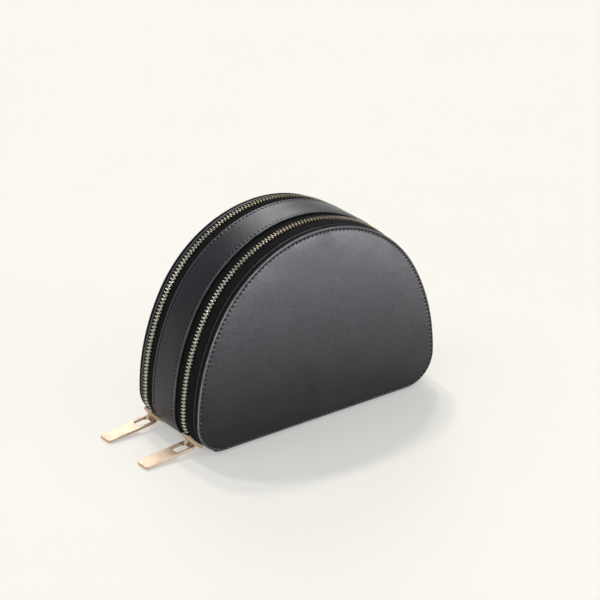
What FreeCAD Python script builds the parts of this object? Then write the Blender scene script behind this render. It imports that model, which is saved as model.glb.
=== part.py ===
import FreeCAD, Part
import Sketcher
import math
import os

# A half-moon leather jewellery case. A stiff leather band carries a divider with ring rolls on
# its front and a necklace rail on its back, and a lid closes each side with a metal zip.
# Frame: X across the width, -Y the front, +Z up, origin at the middle of the base, millimetres.
# An inset is a distance measured inwards, square to the band's half-moon outline.

SIZES = {
    # Outline of the band, seen from the front
    "case_width": 166.6,
    "case_height": 118.2,
    "shoulder_angle": 29.4,
    "corner_radius": 20.3,
    # Front to back, with the strips of tape that show beside the teeth
    "band_width": 22.0,
    "body_tape_show": 5.7,
    "front_tape_show": 6.4,
    "rear_tape_show": 2.25,
    # Layers of the band, from the leather inwards
    "band_leather": 1.4,
    "tape_thickness": 0.7,
    "frame_board": 2.0,
    "lining_cloth": 0.8,
    "glue_line": 0.1,
    "tape_underlap": 4.2,
    "band_edge_round": 0.5,
    # Lids
    "lid_inset": 1.6,
    "front_panel_depth": 4.75,
    "rear_panel_depth": 3.3,
    "face_leather": 1.3,
    "edge_wrap": 1.2,
    "lining_recess": 0.25,
    "panel_edge_round": 1.1,
    # Leather hinge under each lid
    "hinge_leather": 1.3,
    "hinge_setback": 1.25,
    "hinge_end_height": 1.75,
    # Zip chain
    "tooth_pitch": 2.04,
    "tooth_width": 0.95,
    "tooth_crown": 0.4,
    "tooth_height": 2.9,
    "tooth_reach": 2.1,
    "tooth_head": 1.0,
    "chain_gap": 0.15,
    "chain_start_angle": 26.5,
    "chain_end_angle": 56.0,
    "tape_end_height": 2.6,
    "stop_length": 2.6,
    "stop_gap": 0.6,
    # Zip slider
    "slider_park_angle": 45.5,
    "slider_length": 13.0,
    "slider_width": 7.2,
    "slider_plate": 1.6,
    "inner_plate": 1.3,
    "flange_width": 1.2,
    "flange_gap": 0.2,
    "run_gap": 0.25,
    "post_length": 2.0,
    "post_width": 2.4,
    "crown_length": 7.0,
    "crown_width": 2.2,
    "crown_height": 2.7,
    "crown_wall": 0.8,
    # Pull tab
    "tab_length": 31.5,
    "tab_width": 10.0,
    "tab_thickness": 1.6,
    "tab_corner": 1.8,
    "eye_length": 9.4,
    "eye_width": 6.2,
    "bar_diameter": 1.5,
    "floor_gap": 0.2,
    # Inside the case
    "divider_board": 1.8,
    "roll_diameter": 15.0,
    "roll_length": 104.0,
    "roll_round": 3.0,
    "roll_base": 6.5,
    "roll_pitch": 17.0,
    "seat_gap": 0.2,
    "partition_wall": 1.6,
    "partition_height": 52.0,
    "partition_depth": 9.4,
    "rail_length": 84.0,
    "rail_height": 7.0,
    "rail_thickness": 1.6,
    "rail_drop": 32.2,
    "hook_width": 4.0,
    "hook_reach": 6.0,
    "hook_wire": 1.5,
    "hook_lip": 4.5,
    "hook_spacing": 24.0,
    "pouch_length": 112.0,
    "pouch_height": 42.0,
    "pouch_depth": 7.0,
    "pouch_wall": 1.0,
    "pouch_base": 7.0,
    "slip_pocket_height": 58.0,
    "slip_pocket_cloth": 1.0,
    "slip_pocket_margin": 7.0,
    # How far a trimming cut passes the outline
    "cut_margin": 1.0,
}

RING_ROLLS = ("lower_ring_roll", "middle_ring_roll", "upper_ring_roll")
NECKLACE_HOOKS = 4
HALF_TURN = 180

doc = FreeCAD.newDocument("jewellery_case")
sheet = doc.addObject("Spreadsheet::Sheet", "Sizes")
for row, (alias, number) in enumerate(SIZES.items(), start=1):
    sheet.set(f"A{row}", alias)
    sheet.set(f"B{row}", str(number))
    sheet.setAlias(f"B{row}", alias)
doc.recompute()


class Size:
    """A length or an angle, kept as a formula on the sheet and as its present number."""

    def __init__(self, text, number):
        self.text = text
        self.number = number

    def __add__(self, other):
        other = as_size(other)
        return Size(f"({self.text} + {other.text})", self.number + other.number)

    def __sub__(self, other):
        other = as_size(other)
        return Size(f"({self.text} - {other.text})", self.number - other.number)

    def __mul__(self, other):
        other = as_size(other)
        return Size(f"({self.text} * {other.text})", self.number * other.number)

    def __truediv__(self, other):
        other = as_size(other)
        return Size(f"({self.text} / {other.text})", self.number / other.number)

    def __neg__(self):
        return Size(f"(0 - {self.text})", -self.number)


def as_size(thing):
    """A plain number as a Size."""
    return thing if isinstance(thing, Size) else Size(repr(thing), thing)


def size(alias):
    """The Size of one cell of the sheet."""
    return Size(f"Sizes.{alias}", float(sheet.get(alias)))


def cosine(angle):
    return Size(f"cos({angle.text} * 1 deg)", math.cos(math.radians(angle.number)))


def sine(angle):
    return Size(f"sin({angle.text} * 1 deg)", math.sin(math.radians(angle.number)))


# Places that several pieces share
half_width = size("case_width") / 2
corner_radius = size("corner_radius")
flat_half = half_width - corner_radius
glue = size("glue_line")
seat = size("seat_gap")

# The outline's sides and top are two arcs that meet, tangent, at the shoulder's angle
shoulder = size("shoulder_angle")
arch_rise = size("case_height") - corner_radius - half_width
radius_step = arch_rise / (sine(shoulder) + cosine(shoulder) - 1)
side_radius = half_width + radius_step * cosine(shoulder)
top_radius = side_radius - radius_step
top_centre = size("case_height") - top_radius

band_to_zip = size("body_tape_show") + size("tooth_reach")
zip_spacing = size("band_width") + band_to_zip * 2
front_panel = size("front_panel_depth")
rear_panel = size("rear_panel_depth")
front_depth = front_panel + size("front_tape_show") + size("tooth_reach")
rear_depth = rear_panel + size("rear_tape_show") + size("tooth_reach")
rear_face = (front_depth + zip_spacing + rear_depth) / 2
front_face = -rear_face
front_zip = front_face + front_depth
rear_zip = rear_face - rear_depth
band_front = front_zip + band_to_zip
band_rear = rear_zip - band_to_zip
band_middle = (band_front + band_rear) / 2

tape_out = size("band_leather") + glue
tape_in = tape_out + size("tape_thickness")
frame_out = tape_in + glue
frame_in = frame_out + size("frame_board")
lining_out = frame_in + glue
lining_in = lining_out + size("lining_cloth")
divider_out = lining_in + glue
divider_front = band_middle - size("divider_board") / 2
divider_rear = band_middle + size("divider_board") / 2
tape_edge = size("chain_gap") + size("tooth_head") + glue
chain_low_left = corner_radius - (corner_radius - tape_in) * sine(size("chain_start_angle"))
chain_low_right = corner_radius - (corner_radius - tape_in) * sine(size("chain_end_angle"))
front_inside = front_face + front_panel
rear_inside = rear_face - rear_panel
floor = glue * 0
beyond = half_width + size("cut_margin")
above = size("case_height") + size("cut_margin")


def new_body(label):
    """A body whose label names its file."""
    body = doc.addObject("PartDesign::Body", label)
    body.Label = label
    return body


def new_sketch(body, role, name, offset):
    """A sketch on one of the body's own planes, moved along the plane's normal."""
    plane = next(item for item in body.Origin.OriginFeatures if item.Role == role)
    sketch = body.newObject("Sketcher::SketchObject", name)
    sketch.AttachmentSupport = [(plane, "")]
    sketch.MapMode = "FlatFace"
    sketch.AttachmentOffset = FreeCAD.Placement(
        FreeCAD.Vector(0, 0, offset.number), FreeCAD.Rotation()
    )
    sketch.setExpression("AttachmentOffset.Base.z", offset.text)
    return sketch


def bind(sketch, constraint, target):
    """Add a constraint whose value follows a formula on the sheet."""
    index = sketch.addConstraint(Sketcher.Constraint(*constraint, target.number))
    sketch.setExpression(f"Constraints[{index}]", target.text)


def pin_point(sketch, edge, end, across, up):
    """Hold a point of a sketch at two signed distances from the origin."""
    for kind, target in (("DistanceX", across), ("DistanceY", up)):
        if target.number >= 0:
            bind(sketch, (kind, -1, 1, edge, end), target)
        else:
            bind(sketch, (kind, edge, end, -1, 1), -target)


def arc(centre_x, centre_z, radius, start, finish):
    """A circular arc in a sketch's plane, angles in radians."""
    circle = Part.Circle(FreeCAD.Vector(centre_x, centre_z, 0), FreeCAD.Vector(0, 0, 1), radius)
    return Part.ArcOfCircle(circle, start, finish)


def half_moon(sketch, inset):
    """The half-moon at an inset: flat base, two corners, two sides and the top, all tangent."""
    side_x = (half_width - side_radius).number
    sweep = math.radians(shoulder.number)
    corner_z = corner_radius.number
    flat = flat_half.number
    trim = inset.number
    right = math.pi / 2
    first = sketch.GeometryCount
    sketch.addGeometry(
        [
            Part.LineSegment(FreeCAD.Vector(-flat, trim, 0), FreeCAD.Vector(flat, trim, 0)),
            arc(flat, corner_z, corner_z - trim, -right, 0),
            arc(side_x, corner_z, side_radius.number - trim, 0, sweep),
            arc(0, top_centre.number, top_radius.number - trim, sweep, math.pi - sweep),
            arc(-side_x, corner_z, side_radius.number - trim, math.pi - sweep, math.pi),
            arc(-flat, corner_z, corner_z - trim, math.pi, math.pi + right),
        ],
        False,
    )
    base, right_corner, right_side, top, left_side, left_corner = range(first, first + 6)
    loop = (base, right_corner, right_side, top, left_side, left_corner, base)
    for before, after in zip(loop, loop[1:]):
        sketch.addConstraint(Sketcher.Constraint("Tangent", before, 2, after, 1))
    sketch.addConstraint(Sketcher.Constraint("PointOnObject", top, 3, -2))
    bind(sketch, ("DistanceY", -1, 1, top, 3), top_centre)
    bind(sketch, ("Radius", top), top_radius - inset)
    for corner, across in ((right_corner, flat_half), (left_corner, -flat_half)):
        pin_point(sketch, corner, 3, across, corner_radius)
        bind(sketch, ("Radius", corner), corner_radius - inset)
    for side in (right_side, left_side):
        bind(sketch, ("DistanceY", -1, 1, side, 3), corner_radius)


def rectangle(sketch, left, right, low, high):
    """A rectangle between two upright lines and two level lines."""
    corners = [(left, low), (right, low), (right, high), (left, high)]
    points = [FreeCAD.Vector(x.number, z.number, 0) for x, z in corners]
    first = sketch.GeometryCount
    for start, finish in zip(points, points[1:] + points[:1]):
        sketch.addGeometry(Part.LineSegment(start, finish), False)
    for step in range(4):
        after = first + (step + 1) % 4
        sketch.addConstraint(Sketcher.Constraint("Coincident", first + step, 2, after, 1))
        kind = "Vertical" if step % 2 else "Horizontal"
        sketch.addConstraint(Sketcher.Constraint(kind, first + step))
    pin_point(sketch, first, 1, left, low)
    pin_point(sketch, first + 2, 1, right, high)


def sector(sketch, inner, outer, start, finish):
    """Part of a ring about the left corner's centre, angles in degrees below the horizontal."""
    centre = FreeCAD.Vector(-flat_half.number, corner_radius.number, 0)
    turns = [math.pi + math.radians(angle.number) for angle in (start, finish)]
    first = sketch.GeometryCount
    for radius in (inner, outer):
        sketch.addGeometry(arc(centre.x, centre.y, radius.number, *turns), False)
    for turn in turns:
        ray = FreeCAD.Vector(math.cos(turn), math.sin(turn), 0)
        sketch.addGeometry(
            Part.LineSegment(centre + ray * inner.number, centre + ray * outer.number), False
        )
    low, high, near, far = range(first, first + 4)
    for line, end in ((near, 1), (far, 2)):
        sketch.addConstraint(Sketcher.Constraint("Coincident", line, 1, low, end))
        sketch.addConstraint(Sketcher.Constraint("Coincident", line, 2, high, end))
        sketch.addConstraint(Sketcher.Constraint("PointOnObject", low, 3, line))
    sketch.addConstraint(Sketcher.Constraint("Coincident", low, 3, high, 3))
    pin_point(sketch, low, 3, -flat_half, corner_radius)
    bind(sketch, ("Radius", low), inner)
    bind(sketch, ("Radius", high), outer)
    bind(sketch, ("Angle", -1, 1, near, 1), start - HALF_TURN)
    bind(sketch, ("Angle", -1, 1, far, 1), finish - HALF_TURN)


def grow(body, sketch, length, kind="PartDesign::Pad"):
    """Pad or pocket a sketch towards the plane's normal, to a length on the sheet."""
    feature = body.newObject(kind, f"{sketch.Name}_{kind.split('::')[1]}")
    feature.Profile = sketch
    feature.Length = length.number
    feature.setExpression("Length", length.text)
    return feature


def slab(body, name, draw, front, rear):
    """Pad what draw() puts in an upright sketch, from its rear plane to its front plane."""
    sketch = new_sketch(body, "XZ_Plane", name, -rear)
    draw(sketch)
    return grow(body, sketch, rear - front)


def ring(body, name, outer, inner, front, rear):
    """A half-moon hoop between two insets."""

    def draw(sketch):
        half_moon(sketch, outer)
        half_moon(sketch, inner)

    return slab(body, name, draw, front, rear)


def plate(body, name, inset, front, rear):
    """A half-moon plate at an inset."""
    return slab(body, name, lambda sketch: half_moon(sketch, inset), front, rear)


def round_edges(body, base, edges, radius):
    """Round named edges of the body's last feature."""
    fillet = body.newObject("PartDesign::Fillet", f"{body.Name}_round_{len(body.Group)}")
    fillet.Base = (base, edges)
    fillet.Radius = radius.number
    fillet.setExpression("Radius", radius.text)
    body.Tip = fillet


def round_face(body, level, radius):
    """Round the outer edges of the flat face that lies at one depth."""
    doc.recompute()
    base = body.Tip
    shape = base.Shape
    tolerance = glue.number / 10
    flat = [
        face
        for face in shape.Faces
        if face.BoundBox.YLength < tolerance and abs(face.CenterOfMass.y - level.number) < tolerance
    ]
    face = max(flat, key=lambda item: item.Area)
    rim = [
        f"Edge{number}"
        for number, edge in enumerate(shape.Edges, start=1)
        if any(edge.isSame(other) for other in face.OuterWire.Edges)
    ]
    round_edges(body, base, rim, radius)


def trim_away(body, name, draw, front, rear):
    """Cut what draw() puts in an upright sketch through the body between two depths."""
    doc.recompute()
    before = body.Tip.Shape.Volume
    sketch = new_sketch(body, "XZ_Plane", name, -rear)
    draw(sketch)
    pocket = grow(body, sketch, rear - front, "PartDesign::Pocket")
    pocket.Reversed = True
    doc.recompute()
    if pocket.Shape.Volume >= before:
        raise ValueError(f"{name} cuts nothing")


def center_band():
    body = new_body("center_band")
    ring(body, "band_outline", floor, size("band_leather"), band_front, band_rear)
    for level in (band_front, band_rear):
        round_face(body, level, size("band_edge_round"))


def body_layers():
    """The board hoop under the leather and the cloth that lines it."""
    ring(new_body("body_frame"), "frame_outline", frame_out, frame_in, band_front, band_rear)
    ring(new_body("body_lining"), "lining_outline", lining_out, lining_in, band_front, band_rear)
    plate(new_body("divider_panel"), "divider_outline", divider_out, divider_front, divider_rear)


def cut_ends(body, name, front, rear, left_span, right_span):
    """Cut an upright range of heights off the left half and another off the right half."""
    middle = floor
    for end, left, right, span in (
        ("left", -beyond, middle, left_span),
        ("right", middle, beyond, right_span),
    ):
        trim_away(
            body,
            f"{name}_{end}",
            lambda sketch, a=left, b=right, c=span: rectangle(sketch, a, b, *c),
            front,
            rear,
        )


def tape(label, front, rear, left_end, right_end):
    """A zip tape that follows the arch and ends above the base on either side."""
    body = new_body(label)
    ring(body, f"{label}_outline", tape_out, tape_in, front, rear)
    cut_ends(body, f"{label}_end", front, rear, (floor, left_end), (floor, right_end))


def tape_ends(label, front, rear):
    """The sewn-down ends of a lid's tape, which stay with the case below the chain."""
    body = new_body(label)
    low = size("tape_end_height")
    left_top = chain_low_left - size("stop_gap")
    right_top = chain_low_right - size("stop_gap")
    ring(body, f"{label}_outline", tape_out, tape_in, front, rear)
    cut_ends(body, f"{label}_top", front, rear, (left_top, above), (right_top, above))
    cut_ends(body, f"{label}_foot", front, rear, (floor, low), (floor, low))


def zip_tapes():
    low = size("tape_end_height")
    underlap = size("tape_underlap")
    tape("front_body_tape", front_zip + tape_edge, band_front + underlap, low, low)
    tape("rear_body_tape", band_rear - underlap, rear_zip - tape_edge, low, low)
    spans = {
        "front": (front_inside + glue, front_zip - tape_edge),
        "rear": (rear_zip + tape_edge, rear_inside - glue),
    }
    for name, (front, rear) in spans.items():
        tape(f"{name}_lid_tape", front, rear, chain_low_left, chain_low_right)
    front, rear = spans["front"]
    tape_ends("front_tape_ends", front + seat, rear)
    front, rear = spans["rear"]
    tape_ends("rear_tape_ends", front, rear - seat)


def chain_arcs():
    """The arch from its left end to its right end: centre, radius, first angle and sweep."""
    side_x = (half_width - side_radius).number
    sweep = math.radians(shoulder.number)
    corner_z = corner_radius.number
    flat = flat_half.number
    start = math.radians(size("chain_start_angle").number)
    finish = math.radians(size("chain_end_angle").number)
    return (
        (-flat, corner_z, corner_radius.number, math.pi + start, start),
        (-side_x, corner_z, side_radius.number, math.pi, sweep),
        (0, top_centre.number, top_radius.number, math.pi - sweep, math.pi - 2 * sweep),
        (side_x, corner_z, side_radius.number, sweep, sweep),
        (flat, corner_z, corner_radius.number, 0, finish),
    )


def chain_place(distance):
    """The place on the outline, and the turn about Y, of a point along the middle of the tape."""
    inset = (tape_out.number + tape_in.number) / 2
    left = distance
    for centre_x, centre_z, radius, first, sweep in chain_arcs():
        length = (radius - inset) * sweep
        turn = first - left / (radius - inset)
        left -= length
        if left <= 0:
            break
    place = FreeCAD.Vector(
        centre_x + radius * math.cos(turn), 0, centre_z + radius * math.sin(turn)
    )
    upright = FreeCAD.Rotation(FreeCAD.Vector(0, 1, 0), HALF_TURN / 2 - math.degrees(turn))
    return FreeCAD.Placement(place, upright)


def chain_length():
    inset = (tape_out.number + tape_in.number) / 2
    return sum((radius - inset) * sweep for _, _, radius, _, sweep in chain_arcs())


def grip_section(side):
    """Half of a U section that grips one tape's edge: from its crown round the jaw to its foot."""
    head = size("chain_gap").number + size("tooth_head").number
    reach = size("tooth_reach").number
    crown = -size("tooth_crown").number
    foot = crown - size("tooth_height").number
    jaw_high = -(tape_out - glue).number
    jaw_low = -(tape_in + glue).number
    corners = [
        (reach, crown),
        (reach, jaw_high),
        (head, jaw_high),
        (head, jaw_low),
        (reach, jaw_low),
        (reach, foot),
    ]
    return [(side * y, z) for y, z in corners]


def clamp(width, outline):
    """A metal piece of one section, padded along the chain."""
    points = [FreeCAD.Vector(-width / 2, y, z) for y, z in outline]
    face = Part.Face(Part.makePolygon(points + points[:1]))
    return face.extrude(FreeCAD.Vector(width, 0, 0))


def placed_copies(label, solids, depth):
    """One node that holds separate solids, at the depth of its zip."""
    node = doc.addObject("Part::Feature", label)
    node.Label = label
    node.Shape = Part.makeCompound(solids)
    node.Placement = FreeCAD.Placement(FreeCAD.Vector(0, depth.number, 0), FreeCAD.Rotation())


def teeth(label, depth, side, shift):
    """One row of zip teeth, half a pitch away from the row that it closes with."""
    pitch = size("tooth_pitch").number
    width = size("tooth_width").number
    grip = grip_section(side)
    nose = side * size("chain_gap").number
    tooth = clamp(width, grip + [(nose, grip[-1][1]), (nose, grip[0][1])])
    count = int((chain_length() - width - shift * pitch) / pitch) + 1
    row = []
    for number in range(count):
        copy = tooth.copy()
        copy.Placement = chain_place(width / 2 + (number + shift) * pitch)
        row.append(copy)
    placed_copies(label, row, depth)
    print(label, count, "teeth")


def zip_stop(label, depth):
    """The clip that holds both tapes together past the chain's right end."""
    length = size("stop_length").number
    clip = clamp(length, grip_section(1) + grip_section(-1)[::-1])
    clip.Placement = chain_place(chain_length() + size("stop_gap").number + length / 2)
    placed_copies(label, [clip], depth)


def zip_chains():
    for name, depth, side in (("front", front_zip, 1), ("rear", rear_zip, -1)):
        teeth(f"{name}_body_teeth", depth, side, 0)
        teeth(f"{name}_lid_teeth", depth, -side, 0.5)
        zip_stop(f"{name}_zip_stop", depth)


def lid_panel(name, face, depth, inward):
    """A leather tray with its board and its lining, laid inwards from the lid's outer face."""
    inset = size("lid_inset")
    inner = inset + size("edge_wrap")
    fill = inner + glue

    def layer(body, sketch_name, draw, start, thickness):
        ends = (face + start * inward, face + (start + thickness) * inward)
        front, rear = sorted(ends, key=lambda end: end.number)
        draw(body, sketch_name, front, rear)

    body = new_body(f"{name}_lid_leather")
    skin = size("face_leather")
    rim = depth - skin
    layer(body, f"{name}_face", lambda b, n, f, r: plate(b, n, inset, f, r), skin * 0, skin)
    layer(body, f"{name}_wrap", lambda b, n, f, r: ring(b, n, inset, inner, f, r), skin, rim)
    round_face(body, face, size("panel_edge_round"))
    start = skin + glue
    cloth = size("lining_cloth")
    board = depth - start - glue - cloth - size("lining_recess")
    layer(
        new_body(f"{name}_lid_board"),
        f"{name}_board_outline",
        lambda b, n, f, r: plate(b, n, fill, f, r),
        start,
        board,
    )
    start = start + board + glue
    layer(
        new_body(f"{name}_lid_lining"),
        f"{name}_lining_outline",
        lambda b, n, f, r: plate(b, n, fill, f, r),
        start,
        cloth,
    )
    return face + (start + cloth) * inward


def front_slip_pocket(lining_face):
    """A flat cloth pocket on the lower half of the front lid's lining."""
    body = new_body("front_lid_pocket")
    front = lining_face + glue
    rear = front + size("slip_pocket_cloth")
    plate(body, "slip_pocket_outline", size("slip_pocket_margin"), front, rear)
    mouth = size("slip_pocket_height")

    def upper(sketch):
        rectangle(sketch, -beyond, beyond, mouth, above)

    trim_away(body, "slip_pocket_mouth", upper, front, rear)


def hinge_strip(label, band_edge, face, outward):
    """A leather strip under the case, from the band's base to a lid's panel, with upturned ends."""
    body = new_body(label)
    under = size("hinge_setback") * 2 + seat * 2
    ends = (band_edge + glue * outward, face - under * outward)
    front, rear = sorted(ends, key=lambda end: end.number)
    ring(body, f"{label}_outline", floor, size("hinge_leather"), front, rear)
    top = size("hinge_end_height")
    trim_away(
        body,
        f"{label}_upper",
        lambda sketch: rectangle(sketch, -beyond, beyond, top, above),
        front,
        rear,
    )


def slider_span():
    """The angle that the slider takes up about the corner's centre, in degrees."""
    return size("slider_length") / corner_radius * (HALF_TURN / math.pi)


def slider(name, zip_depth):
    """A slider bent to the corner: outer plate with flanges, inner plate, and a post that joins them."""
    body = new_body(f"{name}_slider_body")
    start = size("slider_park_angle") - slider_span() / 2
    finish = size("slider_park_angle") + slider_span() / 2
    half = size("slider_width") / 2
    shell_low = corner_radius - size("tooth_crown") + size("run_gap")
    shell_high = shell_low + size("slider_plate")
    under_high = corner_radius - size("tooth_crown") - size("tooth_height") - size("run_gap")
    under_low = under_high - size("inner_plate")
    flange_low = corner_radius - tape_out + size("flange_gap")
    flange = size("flange_width")

    def piece(part, inner, outer, first, front, rear):
        slab(
            body,
            f"{name}_{part}",
            lambda sketch: sector(sketch, inner, outer, first, finish),
            zip_depth + front,
            zip_depth + rear,
        )

    piece("outer_plate", shell_low, shell_high, start, -half, half)
    piece("front_flange", flange_low, shell_low, start, -half, flange - half)
    piece("rear_flange", flange_low, shell_low, start, half - flange, half)
    post = size("post_width") / 2
    post_start = finish - size("post_length") / corner_radius * (HALF_TURN / math.pi)
    piece("post", under_high, shell_low, post_start, -post, post)
    reach = size("tooth_reach")
    piece("inner_plate", under_low, under_high, start, -reach, reach)
    return shell_high


def slider_crown(name, zip_depth, plate_top):
    """The bridge on the slider that the pull's bar turns in."""
    body = new_body(f"{name}_slider_crown")
    park = size("slider_park_angle")
    half_turn = size("crown_length") / plate_top * (HALF_TURN / math.pi / 2)
    wall_turn = size("crown_wall") / plate_top * (HALF_TURN / math.pi)
    low = plate_top + glue / 2
    high = plate_top + size("crown_height")
    window = high - size("crown_wall")
    half = size("crown_width") / 2

    def piece(part, inner, outer, start, finish):
        slab(
            body,
            f"{name}_{part}",
            lambda sketch: sector(sketch, inner, outer, start, finish),
            zip_depth - half,
            zip_depth + half,
        )

    piece("crown_top", window, high, park - half_turn, park + half_turn)
    piece("upper_leg", low, window, park - half_turn, park - half_turn + wall_turn)
    piece("lower_leg", low, window, park + half_turn - wall_turn, park + half_turn)
    return (low + window) / 2


def pull_tab(name, zip_depth, bar_radius):
    """A flat metal pull with an eye, hung on its bar and resting its far end on the floor."""
    body = new_body(f"{name}_pull_tab")
    length = size("tab_length")
    half = size("tab_width") / 2
    eye = size("eye_width") / 2
    bar = size("bar_diameter") / 2
    thick = size("tab_thickness")
    sketch = new_sketch(body, "XY_Plane", f"{name}_tab_outline", -(thick / 2))
    rectangle(sketch, -length, floor, -half, half)
    rectangle(sketch, -(bar + size("eye_length")), -(bar / 2), -eye, eye)
    grow(body, sketch, thick)
    doc.recompute()
    shape = body.Tip.Shape
    far_corners = [
        f"Edge{number}"
        for number, edge in enumerate(shape.Edges, start=1)
        if edge.BoundBox.XMax < -length.number + bar.number and edge.BoundBox.ZLength > bar.number
    ]
    round_edges(body, body.Tip, far_corners, size("tab_corner"))
    round_bar = new_sketch(body, "XZ_Plane", f"{name}_bar", -half)
    round_bar.addGeometry(
        Part.Circle(FreeCAD.Vector(0, 0, 0), FreeCAD.Vector(0, 0, 1), bar.number), False
    )
    round_bar.addConstraint(Sketcher.Constraint("Coincident", 0, 3, -1, 1))
    bind(round_bar, ("Radius", 0), bar)
    grow(body, round_bar, half * 2)
    park = size("slider_park_angle")
    pivot_x = -flat_half - bar_radius * cosine(park)
    pivot_z = corner_radius - bar_radius * sine(park)
    drop = (pivot_z - thick / 2 - size("floor_gap")) / length
    tilt = Size(f"asin({drop.text})", math.degrees(math.asin(drop.number)))
    body.Placement = FreeCAD.Placement(
        FreeCAD.Vector(pivot_x.number, zip_depth.number, pivot_z.number),
        FreeCAD.Rotation(FreeCAD.Vector(0, -1, 0), tilt.number),
    )
    for axis, place in (("x", pivot_x), ("y", zip_depth), ("z", pivot_z)):
        body.setExpression(f"Placement.Base.{axis}", place.text)
    body.setExpression("Placement.Rotation.Angle", tilt.text)
    print(name, "pull pivot", round(pivot_x.number, 3), round(pivot_z.number, 3))


def ring_rolls():
    """Padded rolls on the divider's front, one above the other."""
    radius = size("roll_diameter") / 2
    for number, label in enumerate(RING_ROLLS):
        body = new_body(label)
        length = size("roll_length")
        sketch = new_sketch(body, "YZ_Plane", f"{label}_section", -(length / 2))
        depth = divider_front - seat - radius
        level = lining_in + size("roll_base") + radius + size("roll_pitch") * number
        centre = FreeCAD.Vector(depth.number, level.number, 0)
        sketch.addGeometry(Part.Circle(centre, FreeCAD.Vector(0, 0, 1), radius.number), False)
        pin_point(sketch, 0, 3, depth, level)
        bind(sketch, ("Radius", 0), radius)
        grow(body, sketch, length)
        doc.recompute()
        edges = [
            f"Edge{index}"
            for index, edge in enumerate(body.Tip.Shape.Edges, start=1)
            if edge.BoundBox.XLength < radius.number / 2
        ]
        round_edges(body, body.Tip, edges, size("roll_round"))


def partitions():
    """A low wall at each end of the rolls."""
    inner = size("roll_length") / 2 + seat
    outer = inner + size("partition_wall")
    rear = divider_front - glue
    front = rear - size("partition_depth")
    low = lining_in + glue
    high = low + size("partition_height")
    for label, left, right in (("left_partition", -outer, -inner), ("right_partition", inner, outer)):
        slab(
            new_body(label),
            f"{label}_outline",
            lambda sketch, a=left, b=right: rectangle(sketch, a, b, low, high),
            front,
            rear,
        )


def necklace_rail():
    """A metal rail on the divider's back with upturned hooks for chains."""
    body = new_body("necklace_rail")
    front = divider_rear + glue
    rear = front + size("rail_thickness")
    low = size("case_height") - size("rail_drop")
    half = size("rail_length") / 2

    def bar(sketch):
        rectangle(sketch, -half, half, low, low + size("rail_height"))

    slab(body, "rail_outline", bar, front, rear)
    wire = size("hook_wire")
    reach = rear + size("hook_reach")
    for number in range(NECKLACE_HOOKS):
        middle = size("hook_spacing") * (number - (NECKLACE_HOOKS - 1) / 2)
        left = middle - size("hook_width") / 2
        right = middle + size("hook_width") / 2

        def shelf(sketch, a=left, b=right):
            rectangle(sketch, a, b, low, low + wire)

        def lip(sketch, a=left, b=right):
            rectangle(sketch, a, b, low, low + size("hook_lip"))

        slab(body, f"hook_shelf_{number}", shelf, rear, reach)
        slab(body, f"hook_lip_{number}", lip, reach, reach + wire)


def chain_pouch():
    """An open cloth pouch under the hooks that keeps the hanging chains together."""
    body = new_body("chain_pouch")
    front = divider_rear + glue
    rear = front + size("pouch_depth")
    half = size("pouch_length") / 2
    wall = size("pouch_wall")
    low = lining_in + size("pouch_base")
    high = low + size("pouch_height")
    slab(
        body,
        "pouch_outline",
        lambda sketch: rectangle(sketch, -half, half, low, high),
        front,
        rear,
    )
    trim_away(
        body,
        "pouch_inside",
        lambda sketch: rectangle(sketch, wall - half, half - wall, low + wall, high + wall),
        front + wall,
        rear - wall,
    )


center_band()
body_layers()
zip_tapes()
zip_chains()
lining_face = lid_panel("front", front_face, front_panel, 1)
lid_panel("rear", rear_face, rear_panel, -1)
front_slip_pocket(lining_face)
hinge_strip("front_hinge_strip", band_front, front_face, -1)
hinge_strip("rear_hinge_strip", band_rear, rear_face, 1)
for zip_name, zip_level in (("front", front_zip), ("rear", rear_zip)):
    outer_surface = slider(zip_name, zip_level)
    bar_centre = slider_crown(zip_name, zip_level, outer_surface)
    pull_tab(zip_name, zip_level, bar_centre)
ring_rolls()
partitions()
necklace_rail()
chain_pouch()
doc.recompute()

failed = [item.Name for item in doc.Objects if {"Invalid", "Error"} & set(item.State)]
if failed:
    raise RuntimeError(f"these objects failed: {failed}")
nodes = [item for item in doc.Objects if item.TypeId in ("PartDesign::Body", "Part::Feature")]
for node in nodes:
    if node.Shape.isNull() or not node.Shape.isValid():
        raise RuntimeError(f"{node.Label} has no valid shape")
os.makedirs("parts", exist_ok=True)
for node in nodes:
    node.Shape.exportStep(f"parts/{node.Label}.step")
    print(f"{node.Label}: {len(node.Shape.Solids)} solids, {node.Shape.Volume / 1000:.2f} ml")
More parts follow.
